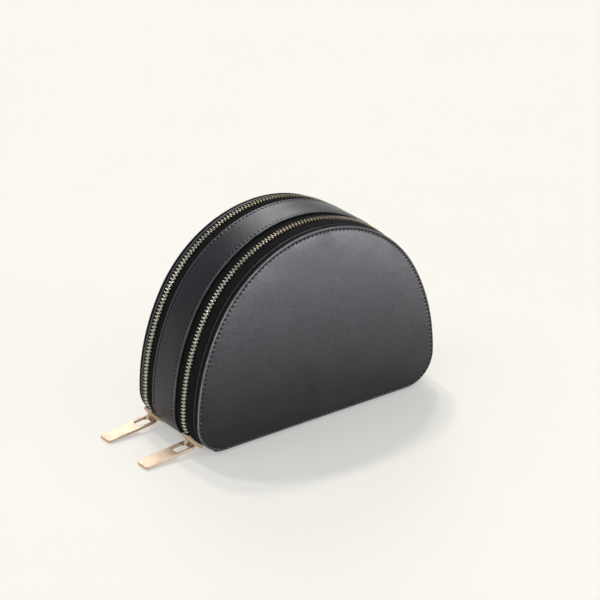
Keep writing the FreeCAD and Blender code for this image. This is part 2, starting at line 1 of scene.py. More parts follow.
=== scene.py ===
# %% Load the part
import bmesh
import bpy
import numpy as np
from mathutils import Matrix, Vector


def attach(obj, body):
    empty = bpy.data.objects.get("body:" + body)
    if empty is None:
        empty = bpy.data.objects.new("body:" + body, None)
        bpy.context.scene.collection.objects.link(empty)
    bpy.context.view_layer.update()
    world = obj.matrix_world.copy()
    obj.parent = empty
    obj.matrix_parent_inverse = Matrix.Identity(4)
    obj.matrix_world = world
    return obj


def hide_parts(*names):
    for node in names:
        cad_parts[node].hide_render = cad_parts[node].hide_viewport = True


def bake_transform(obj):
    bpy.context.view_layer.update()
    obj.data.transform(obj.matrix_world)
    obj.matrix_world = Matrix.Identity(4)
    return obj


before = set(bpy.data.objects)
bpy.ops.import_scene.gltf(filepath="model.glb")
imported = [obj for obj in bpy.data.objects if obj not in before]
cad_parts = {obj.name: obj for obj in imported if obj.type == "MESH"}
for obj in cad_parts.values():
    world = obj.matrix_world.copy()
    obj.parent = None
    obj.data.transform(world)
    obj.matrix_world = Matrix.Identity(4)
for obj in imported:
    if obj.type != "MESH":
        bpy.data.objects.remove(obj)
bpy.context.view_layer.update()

# %% [markdown]
# # A half-moon jewellery case in black leather
# The case is a stiff leather hoop with a zipped lid on its front and another on its back. The part
# loaded above is the engineering model: every piece is there, with square edges and no finish. This
# lesson dresses it. Almost every line of the object follows one closed curve, the half-moon, so that
# curve comes first.
#
# ## The half-moon
# A pattern cutter draws the half-moon with a compass: a flat base, two tight corners, two slow sides
# and a round top, each arc running smoothly into the next. A hand-drawn Bezier curve would look much
# the same, but arcs have exact normals, so a line drawn "two millimetres inside the edge" stays two
# millimetres inside it all the way round.

# %% The half-moon as a function
MM = 0.001
WIDTH, HEIGHT, CORNER = 166.6, 118.2, 20.3
SHOULDER = np.radians(29.4)
QUARTER = np.pi / 2

half_width = WIDTH / 2
flat_half = half_width - CORNER
radius_step = (HEIGHT - CORNER - half_width) / (np.sin(SHOULDER) + np.cos(SHOULDER) - 1)
side_radius = half_width + radius_step * np.cos(SHOULDER)
top_radius = side_radius - radius_step

# Each arc: centre x, centre z, radius, first angle, sweep. They start at the base's right end.
ARCS = np.array(
    [
        (flat_half, CORNER, CORNER, -QUARTER, QUARTER),
        (half_width - side_radius, CORNER, side_radius, 0, SHOULDER),
        (0, HEIGHT - top_radius, top_radius, SHOULDER, np.pi - 2 * SHOULDER),
        (side_radius - half_width, CORNER, side_radius, np.pi - SHOULDER, SHOULDER),
        (-flat_half, CORNER, CORNER, np.pi, QUARTER),
    ]
)
ARC_ENDS = np.cumsum(ARCS[:, 2] * ARCS[:, 4])
ARCH = ARC_ENDS[-1]
LOOP = ARCH + 2 * flat_half


def outline(distance):
    """Points and outward normals of the half-moon: centre + radius x (cos, sin) on the arcs, then
    the straight base, for distances walked from the base's right end up and over the arch."""
    walked = np.mod(distance, LOOP)
    arc = np.minimum(np.searchsorted(ARC_ENDS, walked), len(ARCS) - 1)
    across, up, radius, first, sweep = ARCS[arc].T
    turn = first + sweep - (ARC_ENDS[arc] - walked) / radius
    normal = np.stack([np.cos(turn), np.sin(turn)], -1)
    point = np.stack([across, up], -1) + radius[:, None] * normal
    base = walked > ARCH
    point[base] = np.stack([walked[base] - ARCH - flat_half, np.zeros(base.sum())], -1)
    normal[base] = (0, -1)
    return point, normal


def carry(profile, distance):
    """Carry a profile of (inset, depth) points along the half-moon. Each point lies at the outline
    minus inset x normal, at its own depth. The result is a grid: steps x profile points x 3."""
    point, normal = outline(distance)
    inset, depth = np.asarray(profile, float).T
    flat = point[:, None] - inset[None, :, None] * normal[:, None]
    depth = np.broadcast_to(depth, flat.shape[:2])
    return np.stack([flat[..., 0], depth, flat[..., 1]], -1)


round_trip = np.linspace(0, LOOP, 480, endpoint=False)
print(f"the half-moon is {LOOP:.0f} mm round, {ARCH:.0f} mm of it in the arch")

# %% [markdown]
# ## From arrays to pieces
# Leather edges, tapes and metal are all the same job: a grid of points becomes a mesh of four-sided
# faces. Small helpers do it. Those for sections soften the corners of a drawn line, because no edge on a
# sewn case is sharp. Those for shells number the faces of a grid and close its ends. The last one turns
# shells into one object with its finish, ties it to the moving body that carries it, and hides the plain
# solid that it stands for.

# %% Helpers for sections
NEARLY_HALF = 0.48


def box(left, right, low, high):
    """The four corners of a rectangle."""
    return [(left, low), (right, low), (right, high), (left, high)]


def rounded(corners, radius, steps=4, closed=True):
    """Replace each corner P by the curve (1-t)^2 A + 2t(1-t) P + t^2 B, where A and B lie on the
    corner's two sides, one radius away or not quite half of a short side."""
    corner = np.asarray(corners, float)
    radius = np.broadcast_to(radius, len(corner))
    before, after = np.roll(corner, 1, 0) - corner, np.roll(corner, -1, 0) - corner
    if not closed:
        before[0] = after[-1] = 0

    def side_point(side):
        """The curve's end on one side of each corner."""
        length = np.maximum(np.linalg.norm(side, axis=1), 1e-9)
        return corner + side * (np.minimum(radius, NEARLY_HALF * length) / length)[:, None]

    t = np.linspace(0, 1, steps + 1)[None, :, None]
    start, finish = side_point(before)[:, None], side_point(after)[:, None]
    curve = (1 - t) ** 2 * start + 2 * t * (1 - t) * corner[:, None] + t**2 * finish
    curve = curve.reshape(-1, corner.shape[1])
    apart = np.linalg.norm(np.diff(curve, axis=0, append=curve[:1]), axis=1) > 1e-6
    if not closed:
        apart[-1] = True
    return curve[apart]


def drawn_in(section, margins):
    """Copies of a section, each made smaller about its middle by a margin of its own on every side."""
    middle, half = section.mean(0), (section.max(0) - section.min(0)) / 2
    return middle + (section - middle) * (1 - np.array(margins)[:, None, None] / half)


def along_path(path, section):
    """A strap on a flat path: path point + the section's thickness along the path's own normal."""
    run = np.gradient(path, axis=0)
    run /= np.linalg.norm(run, axis=1)[:, None]
    normal = np.stack([-run[:, 1], run[:, 0]], -1)
    return path[:, None] + normal[:, None] * section[None, :, 1:]


# %% Helpers for shells
def grid_faces(rows, columns, loop_rows=True, loop_columns=True):
    """Four-sided faces between neighbours of a grid; a loop joins its last line to its first."""
    row = np.arange(rows if loop_rows else rows - 1)[:, None]
    column = np.arange(columns if loop_columns else columns - 1)[None, :]
    next_row, next_column = (row + 1) % rows * columns, (column + 1) % columns
    row = row * columns
    quads = [row + column, next_row + column, next_row + next_column, row + next_column]
    return np.stack(quads, -1).reshape(-1, 4).tolist()


def tube(grid):
    """A shell from a stack of closed sections, with a flat face over each end."""
    rows, columns = grid.shape[:2]
    last = (rows - 1) * columns
    ends = [list(range(columns)), list(range(last, last + columns))]
    return grid.reshape(-1, 3), grid_faces(rows, columns, loop_rows=False) + ends


def hoop(grid):
    """A shell from closed sections that come round to the first one again."""
    return grid.reshape(-1, 3), grid_faces(*grid.shape[:2])


def closed_sheet(grid, start, finish):
    """A shell from open lines that come round to the first one again: two fans of triangles close it,
    from the lines' first points to one middle and from their last points to another."""
    steps, count = grid.shape[:2]
    points = np.concatenate([grid.reshape(-1, 3), start[None], finish[None]])
    first = np.arange(steps) * count
    fans = [
        np.stack([first + column, np.roll(first, -1) + column, np.full(steps, steps * count + end)], -1)
        for end, column in ((0, 0), (1, count - 1))
    ]
    return points, grid_faces(steps, count, loop_columns=False) + np.concatenate(fans).tolist()


def repeat_shell(copies, faces):
    """Many copies of one small shell: the same faces, numbered on for each copy."""
    count = copies.shape[1]
    numbered = [[[v + count * n for v in face] for face in faces] for n in range(len(copies))]
    return copies.reshape(-1, 3), sum(numbered, [])


# %% From shells to pieces
def put_in_scene(name, data):
    """A new object in the scene from a mesh, a light or a camera."""
    thing = bpy.data.objects.new(name, data)
    bpy.context.scene.collection.objects.link(thing)
    return thing


def make_piece(name, shells, finish, body, stands_for=(), walk=None, wear_and_painted_light=None, crease=38):
    """Join shells into one object, in metres, with faces outwards and edges sharper than the crease
    angle kept crisp. Walk is an optional (along, across) pair in mm for each point: the UV map. An
    optional attribute gives each point a value from 0 to 1: on leather how worn it is and how much
    painted highlight it takes, on the zip metal how far it stays out of the painted shade."""
    points, faces = [], []
    for shell_points, shell_faces in shells:
        start = sum(len(p) for p in points)
        points.append(shell_points)
        faces += [[v + start for v in face] for face in shell_faces]
    mesh = bpy.data.meshes.new(name)
    mesh.from_pydata(np.concatenate(points) * MM, [], faces)
    shape = bmesh.new()
    shape.from_mesh(mesh)
    bmesh.ops.recalc_face_normals(shape, faces=shape.faces)
    shape.to_mesh(mesh)
    shape.free()
    if walk is not None:
        corner = np.empty(len(mesh.loops), np.int32)
        mesh.loops.foreach_get("vertex_index", corner)
        layer = mesh.uv_layers.new(name="walk")
        layer.data.foreach_set("uv", np.asarray(walk, np.float32)[corner].ravel())
    if wear_and_painted_light is not None:
        layer = mesh.attributes.new("wear_and_painted_light", "FLOAT", "POINT")
        layer.data.foreach_set("value", np.asarray(wear_and_painted_light, np.float32))
    mesh.shade_smooth()
    mesh.set_sharp_from_angle(angle=np.radians(crease))
    mesh.materials.append(finish)
    piece = put_in_scene(name, mesh)
    if body:
        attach(piece, body)
    if stands_for:
        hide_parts(*stands_for)
    print(f"{name}: {len(mesh.polygons)} faces")
    return piece

# %% [markdown]
# ## Finishes
# The outside is black leather with black thread and edge paint, black woven zip tape, pale gold zip
# metal, a warmer gold plate on the sliders and a satin one on the pulls. Inside there is a napped cloth
# over board. Each finish is built from nodes, so it holds up close and needs no picture files. Patterns
# read Object coordinates where the grain has no direction, and the UV map "walk", measured in
# millimetres, where threads follow a tape.
#
# Two effects are shared. **mottle** is slow, cloudy variation: hide, cloth and metal are never even.
# **threads** is a twill weave: over two, under two, each row shifted by one.


# %% Node helpers
def add_node(tree, kind, settings=None, **inputs):
    """Add a node; settings are its properties, inputs its sockets by name or number (as _0, _1)."""
    node = tree.nodes.new(kind)
    for key, value in (settings or {}).items():
        setattr(node, key, value)
    for key, value in inputs.items():
        socket = node.inputs[int(key[1:]) if key[0] == "_" else key.replace("__", " ")]
        if isinstance(value, bpy.types.NodeSocket):
            tree.links.new(value, socket)
        else:
            socket.default_value = value
    return node


def new_group(name, inputs, outputs):
    """An empty node group with named float or vector inputs and float outputs."""
    tree = bpy.data.node_groups.new(name, "ShaderNodeTree")
    for label, start in inputs.items():
        kind = "NodeSocketVector" if start is None else "NodeSocketFloat"
        socket = tree.interface.new_socket(label, in_out="INPUT", socket_type=kind)
        if start is not None:
            socket.default_value = start
    for label in outputs:
        tree.interface.new_socket(label, in_out="OUTPUT", socket_type="NodeSocketFloat")
    return tree, tree.nodes.new("NodeGroupInput").outputs, tree.nodes.new("NodeGroupOutput").inputs


def math_node(tree, operation, first, second=0.0, third=0.0):
    """The result of one operation on up to three values."""
    node = add_node(tree, "ShaderNodeMath", {"operation": operation}, _0=first, _1=second, _2=third)
    return node.outputs[0]


def smooth_step(tree, value, low, high, **ends):
    """0 below low, 1 above high and a smooth rise between them, or other ends where they are given."""
    node = add_node(
        tree, "ShaderNodeMapRange", {"interpolation_type": "SMOOTHSTEP"},
        Value=value, From__Min=low, From__Max=high, **ends,
    )
    return node.outputs["Result"]


def round_thread(tree, place):
    """The height over a row of round threads: the size of sin(pi x place)."""
    wave = math_node(tree, "SINE", math_node(tree, "MULTIPLY", place, np.pi))
    return math_node(tree, "ABSOLUTE", wave)


# %% The shared effects
mottle, given, put = new_group(
    "mottle", {"Vector": None, "Scale": 60.0, "Low": 0.0, "High": 1.0}, ["Value"]
)
cloud = add_node(
    mottle, "ShaderNodeTexNoise", Vector=given["Vector"], Scale=given["Scale"], Detail=4.0, Roughness=0.6
)
spread = smooth_step(mottle, cloud.outputs["Fac"], 0.3, 0.7, To__Min=given["Low"], To__Max=given["High"])
mottle.links.new(spread, put["Value"])

threads, given, put = new_group("threads", {"Vector": None, "Pitch": 0.45}, ["Height"])
place = add_node(threads, "ShaderNodeSeparateXYZ", Vector=given["Vector"])
along = math_node(threads, "DIVIDE", place.outputs["X"], given["Pitch"])
across = math_node(threads, "DIVIDE", place.outputs["Y"], given["Pitch"])
row = math_node(threads, "FLOOR", across)
warp = math_node(threads, "PINGPONG", math_node(threads, "ADD", along, row), 2.0)
mixed = add_node(
    threads, "ShaderNodeMix", {"data_type": "FLOAT"}, _0=smooth_step(threads, warp, 0.3, 1.1),
    _2=round_thread(threads, along), _3=round_thread(threads, across),
)
threads.links.new(mixed.outputs[0], put["Height"])
print("shared effects:", mottle.name, threads.name)


# %% A material to start from
def new_finish(name, **sockets):
    """A material with its Principled shader, constants set on the shader's own sockets, and one
    Texture Coordinate node."""
    finish = bpy.data.materials.new(name)
    finish.use_nodes = True
    tree = finish.node_tree
    shader = next(node for node in tree.nodes if node.type == "BSDF_PRINCIPLED")
    for key, value in sockets.items():
        shader.inputs[key.replace("__", " ")].default_value = value
    return finish, tree, shader, add_node(tree, "ShaderNodeTexCoord").outputs


def use_group(tree, group, **inputs):
    """One of the shared effects, as the outputs of its node."""
    return add_node(tree, "ShaderNodeGroup", {"node_tree": group}, **inputs).outputs


def mix_tones(tree, amount, dark, light):
    """A straight mix from a dark tone to a light one; a tone is three numbers or a socket."""
    tones = [tone if isinstance(tone, bpy.types.NodeSocket) else (*tone, 1) for tone in (dark, light)]
    mix = add_node(tree, "ShaderNodeMix", {"data_type": "RGBA"}, _0=amount, _6=tones[0], _7=tones[1])
    return mix.outputs[2]


def tint(tree, shader, amount, dark, light):
    """Base colour: a mix of two tones."""
    tree.links.new(mix_tones(tree, amount, dark, light), shader.inputs["Base Color"])


def emboss(tree, shader, height, depth, after=None):
    """A bump of so many millimetres, laid over an earlier bump if there is one."""
    bump = add_node(tree, "ShaderNodeBump", Height=height, Strength=1.0, Distance=depth * MM)
    if after:
        tree.links.new(after.outputs[0], bump.inputs["Normal"])
    tree.links.new(bump.outputs[0], shader.inputs["Normal"])
    return bump


# %% [markdown]
# ### Black leather
# The leather is smooth calf with a very fine grain: tiny raised cells with creases between them, and a
# few larger soft folds. A Voronoi texture's distance to the cell edge gives the creases, and stretching
# its coordinates a little with noise keeps the cells from looking like tiles. The hide is dyed through,
# so it is nearly black, and a thin clear finish gives the soft grey sheen seen in the photograph. Along
# edges a paler tone shows, partly rubbed-off dye and partly a painted highlight on the beads. Pointiness
# would need dense meshes, and the shapes below know where their edges are, so each stores how worn and
# how highlit a point is in an attribute that is read here.

# %% Black leather
DYE_DARK, DYE_LIGHT = (0.0040, 0.0040, 0.0056), (0.011, 0.011, 0.014)
# The pale edge tone: partly rubbed-off dye, partly painted highlight.
WORN_AND_HIGHLIT_HIDE = (0.30, 0.30, 0.315)
CELL_STRAY = 0.0011
FOLD_DEPTH, CREASE_DEPTH = 0.12, 0.018

leather, tree, shader, coords = new_finish(
    "black_leather", Specular__IOR__Level=0.32, Specular__Tint=(0.93, 0.915, 1.0, 1),
    Coat__Roughness=0.30, Coat__IOR=1.45, Sheen__Weight=0.015, Sheen__Roughness=0.45,
)
wander = add_node(tree, "ShaderNodeTexNoise", Vector=coords["Object"], Scale=420.0, Detail=2.0)
shifted = add_node(
    tree, "ShaderNodeVectorMath", {"operation": "MULTIPLY_ADD"},
    _0=wander.outputs["Color"], _1=(CELL_STRAY, CELL_STRAY, CELL_STRAY), _2=coords["Object"],
)
cells = add_node(
    tree, "ShaderNodeTexVoronoi", {"feature": "DISTANCE_TO_EDGE"}, Vector=shifted.outputs[0], Scale=1150.0
)
crease = smooth_step(tree, cells.outputs["Distance"], 0.0, 0.22)
folds = add_node(
    tree, "ShaderNodeTexNoise", Vector=coords["Object"], Scale=260.0, Detail=3.0, Roughness=0.55
)
soft = emboss(tree, shader, folds.outputs["Fac"], FOLD_DEPTH)
emboss(tree, shader, crease, CREASE_DEPTH, after=soft)
dye = use_group(tree, mottle, Vector=coords["Object"], Scale=38.0, Low=0.0, High=0.7)
raised = math_node(tree, "MULTIPLY", dye["Value"], crease)
dyed = mix_tones(tree, raised, DYE_DARK, DYE_LIGHT)
# Paler where the attribute is high: partly wear, partly painted highlight on the beads.
edge = add_node(tree, "ShaderNodeAttribute", {"attribute_name": "wear_and_painted_light"})
patchiness = use_group(tree, mottle, Vector=coords["Object"], Scale=210.0, Low=0.45, High=1.0)
worn_and_highlit = math_node(tree, "MULTIPLY", edge.outputs["Fac"], patchiness["Value"])
tint(tree, shader, worn_and_highlit, dyed, WORN_AND_HIGHLIT_HIDE)
gloss = use_group(tree, mottle, Vector=coords["Object"], Scale=90.0, Low=0.34, High=0.42)
tree.links.new(gloss["Value"], shader.inputs["Roughness"])
polish = use_group(tree, mottle, Vector=coords["Object"], Scale=25.0, Low=0.08, High=0.20)
tree.links.new(polish["Value"], shader.inputs["Coat Weight"])
print("leather grain cells are about 0.9 mm across")

# %% [markdown]
# ### Zip tape, thread, metal and cloth
# The tape is a polyester twill, so it takes the weave group on its UV map. The sewing thread is a
# twisted strand: a wave running slantwise round it is enough at half a millimetre. Both metals are
# plated brass, tumbled before plating, so their shine is broken by fine scratches: noise stretched a
# long way in one direction. The inside is lined with a napped cloth, where fibres catch the light at
# grazing angles; the shader's sheen does that, and fine noise gives the nap. Where two layers of leather
# meet on a lid's edge, the cut is sealed with a matt black edge paint.

# %% Zip tape
tape_cloth, tree, shader, coords = new_finish(
    "zip_tape", Roughness=0.9, Specular__IOR__Level=0.12, Sheen__Weight=0.03, Sheen__Roughness=0.4
)
weave = use_group(tree, threads, Vector=coords["UV"], Pitch=0.42)
emboss(tree, shader, weave["Height"], 0.12)
fade = use_group(tree, mottle, Vector=coords["Object"], Scale=140.0, Low=0.2, High=0.8)
shade = math_node(tree, "MULTIPLY", fade["Value"], weave["Height"])
tint(tree, shader, shade, (0.0025, 0.0025, 0.003), (0.009, 0.0085, 0.010))

# %% Sewing thread
thread, tree, shader, coords = new_finish("sewing_thread", Roughness=0.85, Specular__IOR__Level=0.08)
twist = add_node(
    tree, "ShaderNodeTexWave", {"bands_direction": "DIAGONAL"},
    Vector=coords["Object"], Scale=900.0, Distortion=1.5,
)
emboss(tree, shader, twist.outputs["Fac"], 0.06)
tint(tree, shader, twist.outputs["Fac"], (0.0012, 0.0012, 0.0015), (0.005, 0.005, 0.006))


# %% Plated metal
SCRATCHES = (90.0, 1400.0, 1400.0)
SCRATCH_ROUGH, SHADED_ROUGH = 0.10, 0.15


def plated(name, dark, light, low, high, shaded_tone=None):
    """Metal with two tones of plate and a roughness that follows scratches and handling. A shaded
    tone, which is painted shade, goes where the attribute is low, and the roughness rises there."""
    finish, tree, shader, coords = new_finish(name, Metallic=1.0)
    stretched = add_node(tree, "ShaderNodeMapping", Vector=coords["Object"], Scale=SCRATCHES)
    noise = add_node(
        tree, "ShaderNodeTexNoise", Vector=stretched.outputs[0], Scale=1.0, Detail=5.0, Roughness=0.7
    )
    scratch = noise.outputs["Fac"]
    handled = use_group(tree, mottle, Vector=coords["Object"], Scale=150.0, Low=low, High=high)
    rough = math_node(tree, "MULTIPLY_ADD", scratch, SCRATCH_ROUGH, handled["Value"])
    emboss(tree, shader, scratch, 0.012)
    tarnish = use_group(tree, mottle, Vector=coords["Object"], Scale=230.0)
    tone = mix_tones(tree, tarnish["Value"], dark, light)
    if shaded_tone:
        # Where this attribute is low or missing, the plate takes the darker tone: painted shade.
        polish = add_node(tree, "ShaderNodeAttribute", {"attribute_name": "wear_and_painted_light"}).outputs["Fac"]
        tone = mix_tones(tree, polish, shaded_tone, tone)
        shaded_share = math_node(tree, "SUBTRACT", 1.0, polish)
        rough = math_node(tree, "MULTIPLY_ADD", shaded_share, SHADED_ROUGH, rough)
    tree.links.new(tone, shader.inputs["Base Color"])
    tree.links.new(rough, shader.inputs["Roughness"])
    return finish


# The third tone is painted shade for the teeth on top of the arch and to its right.
zip_metal = plated("zip_metal", (0.74, 0.69, 0.57), (0.94, 0.89, 0.77), 0.20, 0.30, shaded_tone=(0.30, 0.25, 0.18))
gold_plate = plated("gold_metal", (0.74, 0.56, 0.41), (0.86, 0.68, 0.51), 0.28, 0.38)
satin_gold = plated("satin_gold", (0.60, 0.475, 0.365), (0.69, 0.555, 0.43), 0.50, 0.60)


# %% Edge paint
edge_paint, tree, shader, coords = new_finish("edge_paint", Specular__IOR__Level=0.15)
brushed_on = use_group(tree, mottle, Vector=coords["Object"], Scale=300.0, Low=0.7, High=0.9)
tree.links.new(brushed_on["Value"], shader.inputs["Roughness"])
tint(tree, shader, brushed_on["Value"], (0.003, 0.003, 0.0035), (0.009, 0.009, 0.010))


# %% Napped cloth and board
def napped(name, dark, light):
    """Short-pile cloth: a fine fibre noise lifts the surface, a slow one shows where it was brushed."""
    finish, tree, shader, coords = new_finish(
        name, Roughness=0.9, Specular__IOR__Level=0.2, Sheen__Weight=0.55, Sheen__Roughness=0.35
    )
    noise = add_node(
        tree, "ShaderNodeTexNoise", Vector=coords["Object"], Scale=2600.0, Detail=3.0, Roughness=0.75
    )
    fibre = noise.outputs["Fac"]
    emboss(tree, shader, fibre, 0.10)
    brushed = use_group(tree, mottle, Vector=coords["Object"], Scale=55.0, Low=0.15, High=0.75)
    slow = math_node(tree, "MULTIPLY", brushed["Value"], 0.6)
    tint(tree, shader, math_node(tree, "MULTIPLY_ADD", fibre, 0.45, slow), dark, light)
    return finish


lining_cloth = napped("lining_cloth", (0.075, 0.066, 0.062), (0.165, 0.148, 0.138))
roll_cloth = napped("roll_cloth", (0.105, 0.093, 0.086), (0.215, 0.194, 0.178))

board, tree, shader, coords = new_finish("board", Roughness=0.85)
pulp = add_node(tree, "ShaderNodeTexNoise", Vector=coords["Object"], Scale=700.0, Detail=6.0)
emboss(tree, shader, pulp.outputs["Fac"], 0.05)
tint(tree, shader, pulp.outputs["Fac"], (0.24, 0.21, 0.17), (0.40, 0.36, 0.30))
outside = (leather, tape_cloth, thread, zip_metal, gold_plate, satin_gold, edge_paint)
inside = (lining_cloth, roll_cloth, board)
print("finishes:", ", ".join(finish.name for finish in outside + inside))

# %% [markdown]
# ## The band
# The band is one strip of leather about 22 mm wide, folded under at both long edges and sewn 2 mm in.
# Sewing pulls the surface down along the seam and leaves a small rounded bead at the edge. So the
# section has a bead, a channel, a long gentle crown, a channel and a bead, and it is carried once
# round the half-moon. Each stitch pulls the leather down and it puffs up between two stitches, so the
# channel's depth rises and falls with the stitch pitch: that takes seven sections for each stitch. A
# texture could draw the seam as well, but then its puckers would vanish from the outline.

# %% Places along an inset line
STITCH_PITCH = 2.7
FINE_STEPS = 6000


def even_places(inset, first=0.0, last=LOOP, pitch=None, count=None, start=0.0):
    """Distances on the outline whose points at an inset lie one pitch apart, measured along the
    inset line: walk it finely, add up the lengths, and look the wanted lengths up again."""
    fine = np.linspace(first, last, FINE_STEPS)
    point, normal = outline(np.minimum(fine, LOOP - 1e-6))
    step = np.linalg.norm(np.diff(point - inset * normal, axis=0), axis=1)
    length = np.concatenate([[0], np.cumsum(step)])
    if count is None:
        count = int(round(length[-1] / pitch))
        pitch = length[-1] / count
    return np.interp(start + pitch * np.arange(count), length, fine)


def seam_walk(inset, columns=7):
    """Distances for a sewn strip, several to a stitch, and for each the pull of the thread there:
    cos^2 of the way from one stitch's middle to the next, 1 under a stitch and 0 between two."""
    places = even_places(inset, pitch=STITCH_PITCH)
    share = np.arange(columns) / columns
    after = np.append(places[1:], LOOP + places[0])
    distance = places[:, None] + (after - places)[:, None] * share
    return distance.ravel(), np.tile(np.cos(np.pi * share) ** 2, len(places))


def sewn(section, deep, shallow, walk):
    """A section carried round twice, with a deep seam and a shallow one, mixed by the thread's pull."""
    distance, pull = walk
    low, high = carry(section(deep), distance), carry(section(shallow), distance)
    return high + pull[:, None, None] * (low - high)


def corner_falloff(section, corner, width):
    """How near a section's points are to a corner, which sets the wear and painted highlight there:
    exp(-(distance to the corner / width)^2).
    """
    return np.exp(-((np.linalg.norm(section - corner, axis=1) / width) ** 2))


# %% Center band
BAND_FRONT, BAND_REAR = -8.2, 13.8
LEATHER = 1.4
SEAM, SEAM_LEVEL = 1.9, 0.3
BAND_DEEP, BAND_SHALLOW = 0.45, 0.04
BAND_WEAR_AND_HIGHLIGHT, PALE_LINE_IN = 0.45, 0.15


def band_section(channel):
    """Half the band's top line, edge to middle, as (inset, distance from the edge), then mirrored."""
    half = (BAND_REAR - BAND_FRONT) / 2
    line = [
        (LEATHER, 0.0), (0.0, 0.0), (0.0, SEAM - 0.7), (channel, SEAM),
        (0.1, SEAM + 0.9), (0.04, SEAM + 3.5), (0.0, half - 1),
    ]
    front = [(inset, BAND_FRONT + run) for inset, run in line]
    rear = [(inset, BAND_REAR - run) for inset, run in line[::-1]]
    soft = [0.3, 0.6, 0.6, 0.45, 0.8, 1.5, 2.0]
    return rounded(front + rear, soft + soft[::-1])


walk = seam_walk(SEAM_LEVEL)
edges = (BAND_FRONT + PALE_LINE_IN, BAND_REAR - PALE_LINE_IN)
# A paler line along both beads of the band: partly wear, partly painted highlight.
worn_and_highlit_line = BAND_WEAR_AND_HIGHLIGHT * sum(corner_falloff(band_section(0.0), (PALE_LINE_IN, edge), 0.5) for edge in edges)
make_piece(
    "center_band_leather", [hoop(sewn(band_section, BAND_DEEP, BAND_SHALLOW, walk))], leather, "case",
    stands_for=["center_band"], wear_and_painted_light=np.tile(worn_and_highlit_line, len(walk[0])),
)

# %% [markdown]
# ## The lids
# Each lid is a board covered in leather. The leather turns over the edge, and a second layer meets it
# half way down the side, so the edge shows two rounded lips with a groove between them: two light
# lines and a dark one in the photograph. The lips are paler, partly from wear and partly as a painted
# highlight, strongest on the left and fading towards the floor. The groove is sealed with black edge
# paint, and the stitch line lies a millimetre and a half in from the edge.
#
# The edge section is carried round the half-moon. Inside it the face must close over the middle.
# Offsetting further and further inwards would make the corners cross, so from 12 mm in the rings are
# scaled towards one point instead. The padding under the leather lifts the face fast near the seam and
# hardly any more in the middle, and a slow ripple keeps it from looking pressed in a mould.

# %% Section of a lid's edge
LID_INSET = 1.6
FACE_START, FACE_LEVEL = 12.0, 52.0
STITCH_LINE, SEAM_FOOT = 1.55, 1.1
DOME, SWELL_REACH, FACE_REACH = 1.2, 15.0, 44.0
LID_BACK = 1.3
SLOPE = np.array([FACE_START, 9.6, 7.6, 6.0, 4.8, 3.8])


def swell(inset):
    """How far the padded face stands out: dome x (1 - e^(-d / reach)) of the distance d from the seam."""
    past_seam = np.maximum(np.asarray(inset) - STITCH_LINE - SEAM_FOOT, 0)
    return DOME * (1 - np.exp(-past_seam / SWELL_REACH))


def lid_edge(depth, seam):
    """A line of (distance in from the edge, distance behind the face): down the face's slope, through
    the seam, over the bead, past the groove, round the lip and up inside the lid."""
    groove = 0.5 * depth
    line = [*zip(SLOPE, -swell(SLOPE))] + [
        (STITCH_LINE + SEAM_FOOT, 0.0), (STITCH_LINE, seam), (STITCH_LINE - 0.6, 0.0),
        (0.0, 0.0), (0.0, groove - 0.35), (0.8, groove), (0.1, groove + 0.35),
        (0.0, depth), (1.15, depth), (1.2, depth - 0.3), (1.2, LID_BACK),
    ]
    soft = [0.7, 0.4, 0.4, 0.7, 0.4, 0.2, 0.4, 0.6, 0.4, 0.2, 0]
    return rounded(line, [0] * len(SLOPE) + soft, closed=False)


def lid_wear_and_highlight(rim, depth):
    """For each step and each point of the edge: paler at the bead and less at the lip, partly wear and
    partly painted highlight, times a share that is 0.65 - x / 60 mm across the lid and z / 14 mm near
    the floor, each kept between limits, so the painted highlight is strongest on the left."""
    line = np.abs(lid_edge(depth, 0.0))
    lips = corner_falloff(line, (0.2, 0.2), 0.38) + 0.6 * corner_falloff(line, (0.15, depth - 0.15), 0.4)
    highlight_share = np.clip(0.65 - rim[:, 0, 0] / 60, 0.2, 1) * np.clip(rim[:, -1, 2] / 14, 0.3, 1)
    return np.outer(highlight_share, lips)


# %% Lid leather
FRONT_FACE, REAR_FACE = -29.25, 29.25
FRONT_PANEL, REAR_PANEL = 4.75, 3.3
LID_DEEP, LID_SHALLOW = 0.52, 0.10
RINGS, RIPPLE = 22, 0.05
BEAD, LIP, PAINT_IN = 0.8, 1.0, 1.1


def lid_shell(face, inward, rim):
    """Rings of the face are middle + f x (edge ring - middle), standing out by the swell plus two slow
    sine ripples; a fan closes the back."""
    middle = np.array([0.0, face, FACE_LEVEL])
    share = np.linspace(0.08, 1, RINGS, endpoint=False)[:, None, None]
    rings = middle + share * (rim[:, 0] - middle)
    ripple = RIPPLE * np.sin(rings[..., 0] / 11 + 1) * np.sin(rings[..., 2] / 9)
    rise = swell(FACE_START + FACE_REACH * (1 - share[..., 0]))
    rings[..., 1] = face - inward * (rise + (1 - share[..., 0] ** 2) ** 1.5 * ripple)
    top = middle - (0, inward * swell(FACE_START + FACE_REACH), 0)
    return closed_sheet(
        np.concatenate([rings.transpose(1, 0, 2), rim], axis=1), top, middle + (0, inward * LID_BACK, 0)
    )


